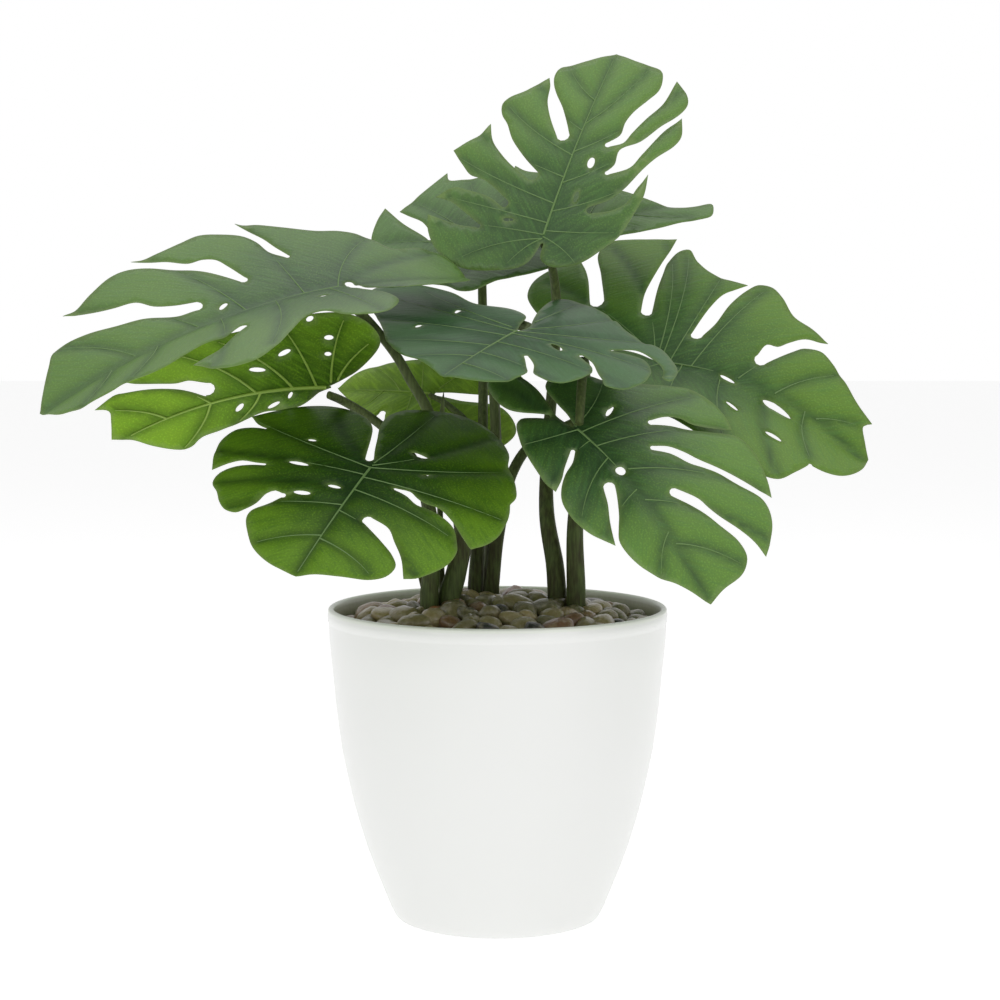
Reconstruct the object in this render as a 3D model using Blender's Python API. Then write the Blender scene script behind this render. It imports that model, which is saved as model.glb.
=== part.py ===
"""A young split-leaf plant growing in a round white pot topped with pebbles.

Units are metres, +Z is up, and the origin is the middle of the pot's base on the floor.
Tables are in millimetres. Each leaf blade is a thin sheet laid on a bent and folded surface,
each stem a tapering stalk from the soil to its leaf, and the pebbles one lumpy layer.
"""

import math

import bmesh
import bpy
import numpy as np
from mathutils.geometry import delaunay_2d_cdt

MM = 0.001
GAP = 0.3  # clearance between touching pieces

POT_SIDES = 48
POT_OUTER = [  # radius, height: the outer wall from the foot up to the rim band
    (45.2, 0), (47.8, 5), (50.2, 11), (54.6, 22), (58.6, 33), (61.9, 44), (64.8, 55),
    (67.2, 66), (69.2, 76), (70.7, 87), (72, 98), (72.9, 109), (73.8, 115), (74.4, 124),
]
RIM_TOP = 138.6
RIM_OUTER = 75
RIM_INNER = 72.3
RIM_BAND = (133.2, 136.8)  # the raised line just under the lip
RIM_BAND_OUT = 0.3
WALL = 2.6
FLOOR_THICK = 4.0

SOIL_TOP = 126.0
BED_EDGE = 131.5  # pebble surface at the wall
BED_MIDDLE = 139.5  # and in the middle
BED_CELL = 6.2
BED_CLEAR = 0.7  # room left around each stalk
PEBBLE_SEED = 7
PEBBLE_COUNT = 95
PEBBLE_SIZE = (8.0, 14.0)
PEBBLE_RISE = 3.2

BLADE_THICK = 0.8
BLADE_CELL = 12.0
STALK_SIDES = 8
STALK_STEP = 9.0

# Each leaf is drawn flat in its own plane: the first number runs from the stalk to the tip, the
# second to the right. A third number marks a sharp point when 0, else the radius of the rounded
# inner end of a cleft. Holes are ovals: centre, length, width, turn in degrees.
# base, tip and face place the sheet; droop bends it along its length, fold lifts both halves
# like a shallow V, and curl rolls each half down, in degrees per millimetre.
LEAVES = {
    "top": {
        "base": (20.1, 26, 302.1), "tip": (56.6, 80, 391), "face": (-0.15, -0.8, 0.58),
        "droop": 20, "fold": 4, "curl": (0.3, 0.3),
        "outline": [
            (104, 0, 0), (101, 10), (98, 24), (93, 26.5), (86, 27), (79, 24), (71, 20), (64, 18),
            (57, 18), (50.5, 14.5, 1.5), (53, 21), (59, 23), (69, 26.5), (79.5, 31), (94, 33, 0),
            (89, 39), (83, 42), (77, 41), (67, 34.5), (56, 28), (49, 20.5), (41, 20.5), (36, 19, 1.2),
            (41, 28), (49, 31), (65, 36.5), (74, 42, 0), (64, 45), (58, 43.5), (49, 37.5), (40, 33),
            (30, 28.5), (23, 24), (16, 17.5, 2), (17.5, 26), (23, 32), (32.5, 34.5), (40, 37, 0),
            (29, 38.5), (19, 37), (7, 34), (-2, 28), (-8.5, 22.5), (-13, 15), (-14.5, 8), (-12, 2.5),
            (-5, 0.8, 0.8), (-12, -1.5), (-17, -5), (-21, -14.5), (-23.5, -28), (-22, -38),
            (-16.5, -48), (-8, -55), (0, -58, 0), (-2, -47), (-3, -40), (-2, -31, 1), (4, -41),
            (8, -49), (9, -57, 0), (15, -50), (14.5, -42), (12.5, -30), (11, -22.5, 2), (21, -36),
            (22.5, -43.5), (27, -49), (34.5, -57, 0), (38.5, -53), (44.5, -47), (51, -43.5, 0),
            (42.5, -39.5), (36, -33), (31, -26.5), (27.5, -14.5, 3), (37, -22.5), (44, -30),
            (52, -35.5), (57, -40), (63, -42), (67, -40), (72, -33.5), (78.5, -28), (81.5, -25, 0),
            (77, -23), (69, -21.5), (59, -16.5), (51, -7.5, 3), (57, -7.5), (66, -13), (73, -18.5),
            (78, -21.5), (83, -23), (88.5, -22), (93.5, -14), (99.5, -6),
        ],
        "holes": [
            (39.5, 10, 5.5, 3.2, 0), (21, 9, 5.5, 2.2, 0), (3.5, -18, 5, 1.8, 80),
        ],
    },
    "top_back": {
        "base": (-7, 60, 297), "tip": (98, 72, 320), "face": (0, -0.55, 0.83),
        "droop": 10, "fold": 5, "curl": (0.1, 0.2),
        "outline": [
            (108.5, 5), (108, 10.5), (105, 16), (97, 17), (91, 17), (80, 18.5), (69, 18.5), (60, 18.5),
            (45, 24), (30, 30), (16, 31), (1.5, 29), (-11, 31), (-17, 28), (-21, 22), (-28, 16),
            (-38, 8), (-46, -10), (-48, -30), (-42, -46), (-36.5, -54, 0), (-30.5, -36), (-24, -23),
            (-21, -20, 1.5), (-22, -33), (-27, -41), (-30.5, -47, 0), (-18, -56), (-2.7, -67, 0),
            (-3, -60), (4.5, -57), (17, -54), (26, -52), (29, -57, 0), (33, -50), (45, -42), (58, -30),
            (66, -22), (73, -16), (85, -3.5), (95, 4), (101, 5),
        ],
        "holes": [
            (8, -15, 5, 2.4, 60),
        ],
    },
    "left": {
        "base": (-69, -14, 280), "tip": (-189, -68, 227), "face": (-0.2, -0.5, 0.85),
        "droop": 28, "fold": 14, "curl": (0.1, 0.1),
        "outline": [
            (143, 1, 0), (128, 20), (121, 27.5), (107, 26), (94, 21.5), (80.5, 17.5), (69, 11),
            (61.5, 12.5, 3), (68.5, 18), (76, 23), (81, 30), (89.5, 33.5), (99, 38), (109, 44, 0),
            (102, 44), (94, 48), (82, 53), (74, 52.5), (59.5, 43), (48, 32.5), (36, 19, 2), (37.5, 31),
            (40, 38), (45, 41), (51, 41.5), (59, 49.5), (70.5, 57.5, 0), (60, 56), (48, 57.5), (38, 59),
            (30, 55.5), (22, 50), (18, 44), (16.5, 35), (11, 27.5, 1.1), (12.5, 36), (14.5, 46),
            (20, 61.5, 0), (13, 57), (2, 50), (-10, 43.5), (-21, 41), (-31, 35), (-38, 24), (-54, 24),
            (-62, 18), (-65, 8), (-62, -8), (-50, -17), (-38, -21), (-22, -21), (-10, -12), (-6, 1, 2),
            (-4, -14), (-8, -27), (-6, -44), (2, -54), (10, -57), (20, -50), (25, -37), (32, -37),
            (45, -49), (56, -59), (68, -65), (79, -60), (86, -43, 0), (76, -40), (66, -33),
            (56, -24, 2), (66, -26), (74, -25.5), (85, -28), (94, -30), (103, -28), (109, -23),
            (115, -24.5), (122, -23.5), (129, -21), (137, -15.5), (141, -5),
        ],
        "holes": [
            (51.5, 6.5, 5.5, 2.2, -30), (14, -14, 3, 1.6, 0),
        ],
    },
    "left_lower": {
        "base": (-74, -20, 237), "tip": (-167, -30, 213), "face": (-0.22, 0.84, 0.5),
        "droop": 15, "fold": 4, "curl": (0.2, 0.2),
        "outline": [
            (95, -1, 0), (93, -9), (92.5, -15), (98, -17.5, 0), (88, -21.5), (84, -21), (76, -20),
            (69.5, -18.5), (61.5, -15.5), (56.5, -12.5), (51, -8.5), (49.5, -11.5, 3), (51.5, -15.5),
            (56.5, -18), (61.5, -18.5), (69, -21), (80, -25), (84, -27, 0), (75, -36), (62, -38),
            (48, -37), (30, -36), (15, -37), (-5, -37), (-17, -34), (-25, -26), (-27, -17), (-15, -5),
            (-6, -1.5), (-1.5, 0.5, 0.6), (3.5, 2.5), (7, 5), (13, 8), (22, 8), (28.5, 7), (40, 9),
            (49, 11), (58, 12), (63, 15), (69.5, 14.5), (79, 9), (88, 1.5),
        ],
        "holes": [
            (38.5, 1.5, 5, 2.2, 40), (27, -15, 7, 2.4, -15), (14, -20.5, 6, 2.4, 20),
            (-6, -24, 4, 2.4, 0), (-4, -16, 3, 2, 0), (0, -35, 3.5, 2.5, 30), (16, 1, 4, 1.6, 60),
            (24, 4.5, 6, 2, 20),
        ],
    },
    "centre": {
        "base": (8, -18, 261), "tip": (-22, -75, 244), "face": (0, -0.33, 0.94),
        "droop": 4, "fold": 3, "curl": (0.05, 0.05),
        "outline": [
            (67, 1.5, 0), (68.5, -12), (67, -23), (60, -28.5), (52, -30.5), (42, -25.5), (33, -21, 0.9),
            (41, -28.5), (50, -33), (54, -39.5), (57, -48), (49.5, -53), (42, -54), (34, -52),
            (28, -46), (22.5, -41.5, 0.9), (28, -49), (36, -55), (44, -61), (51, -65.5), (52, -70),
            (49, -74.5), (41, -77.5), (31.5, -76.5), (22, -73), (13, -64.5), (9, -50, 0.9), (4, -58),
            (12, -70), (21, -78), (31.5, -82.5), (33, -86), (21, -84.5), (5, -74), (-4.5, -65.5),
            (-12, -53), (-22, -42), (-35, -31.5), (-54.5, -11), (-62, 3), (-60, 7), (-55, 8.5),
            (-35, 5.5), (-20, 1.5), (-8, -2), (-3, 0, 0.8), (-9, 2.5), (-21, 5.5), (-26, 12), (-27, 18),
            (-24, 32), (-35, 51), (-37, 72), (-30, 80), (-12, 80), (8, 68), (22, 56), (35, 46),
            (46, 38), (56.5, 25), (57.5, 17.5),
        ],
        "holes": [
            (21, 36.5, 5, 2, 0), (-9, 33, 5, 2, 0), (16, -27, 11, 3, -47),
        ],
    },
    "right": {
        "base": (75, 26, 246), "tip": (162, -12, 203), "face": (0.1, -0.62, 0.78),
        "droop": 15, "fold": 18, "curl": (0.3, 0.3),
        "outline": [
            (103.5, -1.5, 0), (98.5, -7), (93, -15), (95.5, -18, 0), (85, -23.5), (74.5, -31),
            (65, -37), (57, -40.5), (50, -38.5), (47, -34), (44, -28.5), (37.5, -21.5, 3),
            (35.5, -30.5), (40, -32), (43, -37), (48, -43.5), (57.5, -47, 0), (47.5, -51), (37, -53.5),
            (26, -63), (18, -67.5), (13, -65.5), (10.5, -58), (9, -45), (9.5, -30), (5.5, -20.5, 2.8),
            (2, -39), (3, -50), (6, -56), (9, -62, 0), (-1, -61), (-10.5, -62), (-19.5, -67),
            (-28.5, -75), (-32, -70), (-31.5, -60), (-28.5, -50), (-25.5, -40), (-22.5, -24, 2.6),
            (-29.5, -35), (-31, -44), (-33.5, -58), (-38.5, -81.5, 0), (-50, -75), (-58, -71),
            (-65, -66), (-65, -54), (-55, -39), (-47.5, -22, 3.4), (-59, -34), (-66, -42), (-72, -46),
            (-80, -36), (-84, -26), (-82, -16), (-75, -9), (-66, -4), (-50, -2), (-30, -1), (-10, -1),
            (-4, 0, 1), (-10, 1), (-20, 4), (-24, 14), (-18, 25), (-4, 34), (12, 40), (30, 44),
            (48, 47), (62, 50), (74, 51), (81, 48), (84.5, 38), (87, 28, 0.8), (94, 27), (99.5, 23.5),
            (103, 17), (104.5, 8),
        ],
        "holes": [
            (30, -4.5, 8, 1.9, 10), (57, -1, 16, 3.4, 12), (42, 15, 8, 2, 25), (66, 22, 9, 2.4, 15),
        ],
    },
    "right_front": {
        "base": (34, -45, 220), "tip": (87, -95, 151), "face": (0.08, -0.78, 0.62),
        "droop": 20, "fold": 0, "curl": (0.3, 0.8),
        "outline": [
            (100, 0, 0), (97, -8), (95, -18.5), (92, -23.5), (88, -26.5), (80.5, -27), (71, -24),
            (62.5, -21.5), (56.5, -18.5), (49, -16, 2.2), (56, -23.5), (61, -25), (68, -27.5),
            (76, -31), (84, -33.5), (92, -34, 0), (87, -40), (79, -47), (72, -50), (66, -50), (57, -45),
            (48, -40), (43, -35.5), (38.5, -31), (31, -26.5), (25, -21.5, 1.3), (27, -28),
            (32.5, -32.5), (38.5, -36), (45, -41), (52, -46), (60, -51), (68, -55, 0), (61, -58.5),
            (52.5, -61.5), (43.5, -63.5), (36, -63), (31, -59.5), (27, -52), (21.5, -42.5), (17, -36.5),
            (12, -29.5, 1.4), (11.5, -37), (14.5, -42.5), (19.5, -46), (24.5, -54), (28.5, -62, 0),
            (22, -64), (14, -64.5), (6, -63), (0, -60), (-5, -52), (-10, -42), (-15, -33), (-22, -26),
            (-31, -18), (-34, -10), (-30, -3), (-18, -1), (-10, -1), (-4, 0.5, 1), (-12, 3), (-20, 2),
            (-32, 1), (-44, 3), (-51, 9), (-49, 15), (-38, 18), (-28.5, 17), (-22, 13), (-14, 6.5, 1.5),
            (-17, 12), (-20, 16), (-19, 19), (-13, 22), (-4, 24.5), (7, 26), (15, 26.5),
            (21.5, 25.5, 0), (18, 20), (14, 16), (9, 8.5, 1), (14, 12), (17, 17.5), (22, 23), (27, 26),
            (33, 27), (41, 26.5), (48.5, 24.5), (53, 22), (58, 19.5, 0), (53, 17.5), (46, 14.5),
            (40, 11.5), (33.5, 6.5, 2.5), (41.5, 7.5), (47, 10.5), (52, 14), (57, 17), (63, 17.5),
            (71.5, 16), (79, 12.5), (86, 7.5), (92, 4),
        ],
        "holes": [
            (28.5, -2.5, 4.6, 4.2, 0), (-2, -17.5, 6.5, 2, 60),
        ],
    },
    "left_front": {
        "base": (-53, -60, 205), "tip": (-79, -122, 168), "face": (0, -0.6, 0.8),
        "droop": 8, "fold": 3, "curl": (0.1, 0.1),
        "outline": [
            (79, -0.5, 0), (76, -7), (74, -17), (72, -28), (68, -34), (61, -35.5), (54.5, -31.5),
            (48, -24.5), (43, -18.5), (36.7, -13.7, 2.2), (39, -23.5), (46, -29), (54, -35),
            (66.5, -41, 0), (64, -45), (59, -50), (51.5, -54), (43, -54.5), (36, -52), (28.5, -47.5),
            (23.5, -40.5), (21, -34), (20, -28.5), (15.5, -22), (12, -16, 1), (11, -22), (15, -26.5),
            (17.5, -31), (18.5, -37.5), (25, -46), (32, -52.5), (38.5, -59, 0), (33.5, -63.5),
            (26.5, -66), (17.5, -66), (9.5, -65), (3, -63, 0), (-3, -63.5), (-10, -61), (-18.5, -56.5),
            (-24.5, -52.5), (-34, -49.5), (-45, -41.5), (-52, -33.5), (-57, -24.5), (-59, -14.5),
            (-58, -6), (-55, 1.5), (-50, 6.5), (-43.5, 9), (-34, 9), (-21, 5.5), (-12, 3),
            (-6.5, 3, 1.8), (-14, 6.5), (-22, 8.5), (-29.5, 11), (-35, 15), (-38.5, 21), (-40, 29.5),
            (-37.5, 38.5), (-32, 47), (-25, 54), (-16.5, 61.5, 0), (-12, 56), (-10, 52.5, 0.8),
            (-8, 56.5), (-4, 62.5), (5.5, 65), (17, 63.5), (29, 59, 0), (22, 54.5), (18, 50),
            (17.5, 44.5), (17.5, 40.5, 0.8), (20, 45.5), (23.5, 51), (30, 55), (37, 55), (42.5, 50.5),
            (48.5, 46.5), (52, 42), (52.5, 37.5), (49, 35), (42, 32.5), (36, 31), (33, 28.5),
            (34.6, 24.6, 1.3), (38, 26), (43.5, 29), (49, 32), (54, 32), (62, 28), (71, 21), (76, 13),
            (78, 6),
        ],
        "holes": [
            (10.3, 28, 8.5, 3.2, 85), (30, 18, 7, 2.6, 75), (19.7, 8, 5.6, 2.8, 90),
            (-17, -15.5, 7.5, 2, 95), (-2.4, -23.8, 2.6, 1.3, 60), (-8.6, 30, 3.6, 1.2, 85),
        ],
    },
    "back": {
        "base": (-31, 50, 231), "tip": (-76, 58, 232), "face": (-0.1, -0.75, 0.65),
        "droop": 10, "fold": 3, "curl": (0.2, 0.2),
        "outline": [
            (44, 1, 0), (35, 10), (23, 15), (11, 18), (-3, 22), (-19, 24), (-35, 20), (-44, 10),
            (-36, 4), (-3, 0, 0.9), (-14, -3), (-34, -4), (-42, -16), (-34, -28), (-20, -34), (-8, -30),
            (2, -26), (10, -30), (17, -24), (20, -14, 1.5), (26, -18), (34, -14), (38, -6),
        ],
        "holes": [
        ],
    },
}

# Stalks, from the leaf down to the soil: x, y, z, radius. The last stretch stands upright.
STALKS = {
    "top": [
        (20.5, 28.4, 299.6, 1.7), (24.3, 30.5, 290, 1.9), (26.8, 40.5, 275, 2.2), (26.5, 39, 255, 2.3),
        (25, 28, 235, 2.5), (22.5, 14, 208, 2.7), (22, 3, 180, 3.1), (25.5, -2, 158, 3.4),
        (26.5, -4, 146, 3.5),
        (26.5, -4, 126.3, 3.5),
    ],
    "top_back": [
        (-7, 61.6, 293.6, 1.7), (-7, 60, 284, 2), (-6.6, 53, 262, 2.1), (-6.4, 40, 232, 2.2),
        (-6.6, 28, 212, 2.3), (-7.4, 21.5, 190, 2.4), (-8.6, 16, 165, 2.6), (-9.8, 14.6, 146, 2.8),
        (-9.8, 14.6, 126.3, 2.8),
    ],
    "left": [
        (-68.2, -12.4, 276.6, 1.8), (-64, -8, 272, 2), (-56, -6, 264.5, 2.1), (-45, -6, 251, 2.1),
        (-38, -6, 239, 2.2), (-30, -8, 225, 2.4), (-21, -10, 199, 2.8), (-15, -10, 173, 3.4),
        (-17.5, -10, 156, 3.8), (-21, -10, 144, 4.1), (-21, -10, 126.3, 4.1),
    ],
    "left_lower": [
        (-72.4, -23.4, 233.2, 1.7), (-67, -16, 230.4, 1.9), (-58, -9, 224.5, 2), (-50.5, -8, 219, 2),
        (-41, -9, 210, 2.2), (-33, -11, 196, 2.6), (-28, -13.5, 170, 3), (-29.6, -14.6, 146, 3.4),
        (-29.6, -14.6, 126.3, 3.4),
    ],
    "left_front": [
        (-52.8, -58, 201.6, 1.7), (-49, -48, 197.5, 2), (-43, -31, 187, 2.2), (-37, -14, 170, 2.3),
        (-32, -5, 152, 2.4), (-30, -3.4, 142, 2.5), (-30, -3.4, 126.3, 2.5),
    ],
    "centre": [
        (12.6, -8.5, 259.6, 2), (14, 0, 261.6, 2.3), (7, 9, 263.6, 2.4), (-2.5, 15, 265, 2.3),
        (-4.5, 22, 256, 2.2), (-1.5, 25, 232, 2.3), (-0.6, 25, 200, 2.5), (-2.6, 22, 165, 2.6),
        (-4.4, 20.6, 145, 2.6), (-4.4, 20.6, 126.3, 2.6),
    ],
    "right": [
        (74.4, 28.2, 242.2, 1.8), (66, 30, 237, 2.1), (44, 29, 223, 2.2), (23, 24, 213, 2.2),
        (13, 18, 207, 2.2), (6, 13.5, 195.5, 2.3), (2.6, 12, 182, 2.4), (-0.6, 11.6, 165, 2.6),
        (-2.6, 11.4, 146, 2.7),
        (-2.6, 11.4, 126.3, 2.7),
    ],
    "right_front": [
        (34.3, -47.6, 222, 1.8), (35, -42.5, 231, 2), (36, -34, 241, 2.1), (37, -22, 247.5, 2.2),
        (38, -11, 242, 2.3), (37.5, -6.5, 225, 2.5), (36.5, -7, 205, 2.8), (33.8, -9, 175, 3.2),
        (34.2, -9.5, 148, 3.5), (34.2, -9.5, 126.3, 3.5),
    ],
    "back": [
        (-31, 46, 230, 1.2), (-21.7, 38.5, 225, 1.4), (-12, 28.5, 214, 1.6), (-13.5, 21, 190, 1.8),
        (-17.5, 9, 158, 2), (-18.4, 3, 144, 2), (-18.4, 3, 126.3, 2),
    ],
}
SPROUT = [(-23.6, -5, 233.5, .15), (-24, -5, 228, .9), (-24.6, -4, 219, 1.2), (-25.4, -1.5, 190, 1.3),
          (-25, 3, 160, 1.4), (-24.6, 5, 142, 1.4), (-24.6, 5, 126.3, 1.4)]

WHITE_GLAZE = (0.86, 0.87, 0.86, 1)
POTTING_SOIL = (0.05, 0.035, 0.022, 1)
PEBBLE_TAN = (0.28, 0.2, 0.11, 1)
LEAF_GREEN = (0.06, 0.15, 0.035, 1)
LEAF_LIGHT = (0.16, 0.3, 0.04, 1)
STALK_GREEN = (0.09, 0.11, 0.045, 1)
LIT_LEAVES = ("left_lower", "back")


def unit(vector):
    """The same direction, one long."""
    vector = np.asarray(vector, float)
    return vector / np.linalg.norm(vector)


def material(name, colour, roughness, metallic=0.0):
    """A plain Principled material."""
    made = bpy.data.materials.new(name)
    made.use_nodes = True
    shader = made.node_tree.nodes["Principled BSDF"]
    shader.inputs["Base Color"].default_value = colour
    shader.inputs["Roughness"].default_value = roughness
    shader.inputs["Metallic"].default_value = metallic
    return made


def add_object(name, points, faces, finish, smooth=True):
    """A mesh object from points in millimetres, its faces turned outwards."""
    mesh = bpy.data.meshes.new(name)
    mesh.from_pydata([tuple(MM * float(c) for c in p) for p in points], [], faces)
    work = bmesh.new()
    work.from_mesh(mesh)
    bmesh.ops.recalc_face_normals(work, faces=work.faces)
    work.to_mesh(mesh)
    work.free()
    mesh.materials.append(finish)
    mesh.polygons.foreach_set("use_smooth", [smooth] * len(mesh.polygons))
    obj = bpy.data.objects.new(name, mesh)
    bpy.context.scene.collection.objects.link(obj)
    return obj


def inside(rings, points):
    """True where a point lies within the outline and in none of its holes."""
    found = np.zeros(len(points), bool)
    x, y = points[:, 0], points[:, 1]
    for ring in rings:
        for (ax, ay), (bx, by) in zip(ring, np.roll(ring, -1, axis=0)):
            if ay != by:
                found ^= ((ay > y) != (by > y)) & (x < ax + (y - ay) * (bx - ax) / (by - ay))
    return found


def clear_of(rings, points, distance):
    """True where a point is further than this from every edge."""
    nearest = np.full(len(points), np.inf)
    for ring in rings:
        for a, b in zip(ring, np.roll(ring, -1, axis=0)):
            along = b - a
            share = np.clip(((points - a) @ along) / max(along @ along, 1e-12), 0, 1)
            nearest = np.minimum(nearest, np.linalg.norm(points - a - share[:, None] * along, axis=1))
    return nearest > distance


def triangulated(rings, cell):
    """Flat points and triangles filling the outline around its holes, with the rings' indices."""
    outline = rings[0]
    low, high = outline.min(axis=0), outline.max(axis=0)
    grid = []
    for row, y in enumerate(np.arange(low[1] + cell / 2, high[1], cell * 0.866)):
        for x in np.arange(low[0] + cell / 2 * (row % 2), high[0], cell):
            grid.append((x, y))
    grid = np.array(grid)
    grid = grid[inside(rings, grid) & clear_of(rings, grid, cell * 0.45)]
    points = np.concatenate(rings + [grid])
    edges = []
    start = 0
    for ring in rings:
        count = len(ring)
        edges += [(start + i, start + (i + 1) % count) for i in range(count)]
        start += count
    flat, _, faces, source, _, _ = delaunay_2d_cdt([tuple(p) for p in points], edges, [], 0, 1e-6)
    flat = np.array([tuple(p) for p in flat])
    faces = np.array([tuple(f) for f in faces])
    faces = faces[inside(rings, flat[faces].mean(axis=1))]
    return flat, faces


def sheet(flat, faces, top_of, bottom_of):
    """A closed solid between two surfaces over the same flat triangles."""
    count = len(flat)
    used = {}
    for a, b, c in faces:
        for edge in ((a, b), (b, c), (c, a)):
            used[edge] = used.get(edge, 0) + 1
    rim = [edge for edge in used if (edge[1], edge[0]) not in used]
    points = np.concatenate([top_of(flat), bottom_of(flat)])
    solid = [tuple(f) for f in faces]
    solid += [(c + count, b + count, a + count) for a, b, c in faces]
    for a, b in rim:
        solid += [(b, a, a + count), (b, a + count, b + count)]
    return points, [tuple(int(i) for i in face) for face in solid]


def cleft_end(before, centre, after, radius):
    """The rounded inner end of a cleft, from its first side round to its second."""
    centre, before, after = (np.array(p[:2], float) for p in (centre, before, after))
    mouth = (before + after) / 2 - centre
    side = np.sign(mouth[0] * (before - centre)[1] - mouth[1] * (before - centre)[0]) or 1
    start = math.atan2(mouth[1], mouth[0])
    turns = [start + side * math.radians(a) for a in (75, 130, 180, 230, 285)]
    return [centre + radius * np.array([math.cos(t), math.sin(t)]) for t in turns]


def leaf_rings(leaf):
    """The outline and the holes as rings of flat points."""
    drawn = leaf["outline"]
    outline = []
    for i, point in enumerate(drawn):
        if len(point) == 3 and point[2] > 0:
            outline += cleft_end(drawn[i - 1], point, drawn[(i + 1) % len(drawn)], point[2])
        else:
            outline.append(np.array(point[:2], float))
    rings = [np.array(outline)]
    for x, y, length, width, turn in leaf["holes"]:
        turn = math.radians(turn)
        angles = np.linspace(0, 2 * math.pi, 8, endpoint=False)
        a = np.cos(angles) * length / 2
        b = np.sin(angles) * width / 2
        ring = np.stack([a * math.cos(turn) - b * math.sin(turn), a * math.sin(turn) + b * math.cos(turn)], 1)
        rings.append(ring + (x, y))
    return rings


def blade_surface(leaf, offset):
    """A function from flat leaf points to millimetres in space, this far above the middle sheet."""
    base, tip = np.array(leaf["base"], float), np.array(leaf["tip"], float)
    along = unit(tip - base)
    face = np.array(leaf["face"], float)
    face = unit(face - along * (along @ face))
    side = np.cross(along, face)
    droop = math.radians(leaf["droop"])
    length = np.linalg.norm(tip - base) * (droop / 2) / math.sin(droop / 2)
    fold = math.radians(leaf["fold"])
    curls = np.radians(leaf["curl"])

    def place(flat):
        u, v = flat[:, 0], flat[:, 1]
        angle = droop * (0.5 - u / length)
        run = (math.sin(droop / 2) - np.sin(angle)) * length / droop
        rise = (np.cos(angle) - math.cos(droop / 2)) * length / droop
        up = np.outer(np.cos(angle), face) - np.outer(np.sin(angle), along)
        curl = np.where(v < 0, curls[0], curls[1])
        roll = fold - curl * np.abs(v)
        out = np.sign(v) * (math.sin(fold) - np.sin(roll)) / curl
        lift = (np.cos(roll) - math.cos(fold)) / curl + offset
        return base + np.outer(run, along) + np.outer(rise, face) + np.outer(out, side) + up * lift[:, None]

    return place


def add_leaf(name, leaf, finish):
    """One leaf blade."""
    flat, faces = triangulated(leaf_rings(leaf), BLADE_CELL)
    top = blade_surface(leaf, BLADE_THICK / 2)
    bottom = blade_surface(leaf, -BLADE_THICK / 2)
    points, solid = sheet(flat, faces, top, bottom)
    return add_object("leaf_" + name, points, solid, finish)


def smooth_path(knots, step):
    """Points along a Catmull-Rom curve through the knots."""
    knots = np.array(knots, float)
    padded = np.concatenate([[2 * knots[0] - knots[1]], knots, [2 * knots[-1] - knots[-2]]])
    found = []
    for a, b, c, d in zip(padded, padded[1:], padded[2:], padded[3:]):
        count = max(1, int(round(np.linalg.norm((c - b)[:3]) / step)))
        for t in np.arange(count) / count:
            found.append(0.5 * (2 * b + (c - a) * t + (2 * a - 5 * b + 4 * c - d) * t**2
                                + (3 * b - a - 3 * c + d) * t**3))
    found.append(knots[-1])
    return np.array(found)


def add_stalk(name, knots, finish):
    """A tapering stalk with flat ends."""
    path = np.concatenate([smooth_path(knots[:-1], STALK_STEP), [knots[-1]]])
    across = unit(np.cross(path[1, :3] - path[0, :3], (0.3, 1, 0.2)))
    points = []
    for i, (x, y, z, radius) in enumerate(path):
        ahead = unit(path[min(i + 1, len(path) - 1), :3] - path[max(i - 1, 0), :3])
        across = unit(across - ahead * (across @ ahead))
        other = np.cross(ahead, across)
        for k in range(STALK_SIDES):
            turn = 2 * math.pi * k / STALK_SIDES
            points.append((x, y, z) + radius * (math.cos(turn) * across + math.sin(turn) * other))
    faces = []
    for i in range(len(path) - 1):
        for k in range(STALK_SIDES):
            a = i * STALK_SIDES + k
            b = i * STALK_SIDES + (k + 1) % STALK_SIDES
            faces.append((a, b, b + STALK_SIDES, a + STALK_SIDES))
    last = (len(path) - 1) * STALK_SIDES
    faces.append(tuple(range(STALK_SIDES)))
    faces.append(tuple(last + k for k in range(STALK_SIDES)))
    return add_object(name, points, faces, finish)


def add_turned(name, profile, finish):
    """A solid of revolution from a profile that starts and ends on the axis."""
    points = [(0, 0, profile[0][1])]
    faces = []
    rings = profile[1:-1]
    for radius, height in rings:
        for k in range(POT_SIDES):
            turn = 2 * math.pi * k / POT_SIDES
            points.append((radius * math.cos(turn), radius * math.sin(turn), height))
    points.append((0, 0, profile[-1][1]))
    last = len(points) - 1
    for k in range(POT_SIDES):
        n = (k + 1) % POT_SIDES
        faces.append((0, 1 + n, 1 + k))
        for r in range(len(rings) - 1):
            a = 1 + r * POT_SIDES
            faces.append((a + k, a + n, a + POT_SIDES + n, a + POT_SIDES + k))
        a = 1 + (len(rings) - 1) * POT_SIDES
        faces.append((a + k, a + n, last))
    return add_object(name, points, faces, finish)


def wall_inside(height):
    """The inner wall's radius at a height."""
    radii = [r for r, _ in POT_OUTER] + [RIM_OUTER, RIM_OUTER]
    heights = [z for _, z in POT_OUTER] + [RIM_BAND[0], RIM_TOP]
    return min(np.interp(height, heights, radii) - WALL, RIM_INNER)


def add_pot(finish):
    """The pot: a curved cup with a raised line under a rounded lip."""
    outer = [(0, 0)] + POT_OUTER
    low, high = RIM_BAND
    band = RIM_OUTER + RIM_BAND_OUT
    outer += [(RIM_OUTER - 0.2, low - 0.5), (band, low), (band, high), (RIM_OUTER, high + 0.4)]
    lip = (RIM_OUTER - RIM_INNER) / 2
    middle = RIM_INNER + lip
    for turn in (20, 50, 90, 130, 160):
        angle = math.radians(turn)
        outer.append((middle + lip * math.cos(angle), RIM_TOP - lip + lip * math.sin(angle)))
    inner = [(wall_inside(z), z) for z in (136, 124, 109, 87, 66, 44, 22)]
    inner += [(wall_inside(11) - 1, 11), (40, FLOOR_THICK), (0, FLOOR_THICK)]
    return add_turned("pot", outer + inner, finish)


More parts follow.
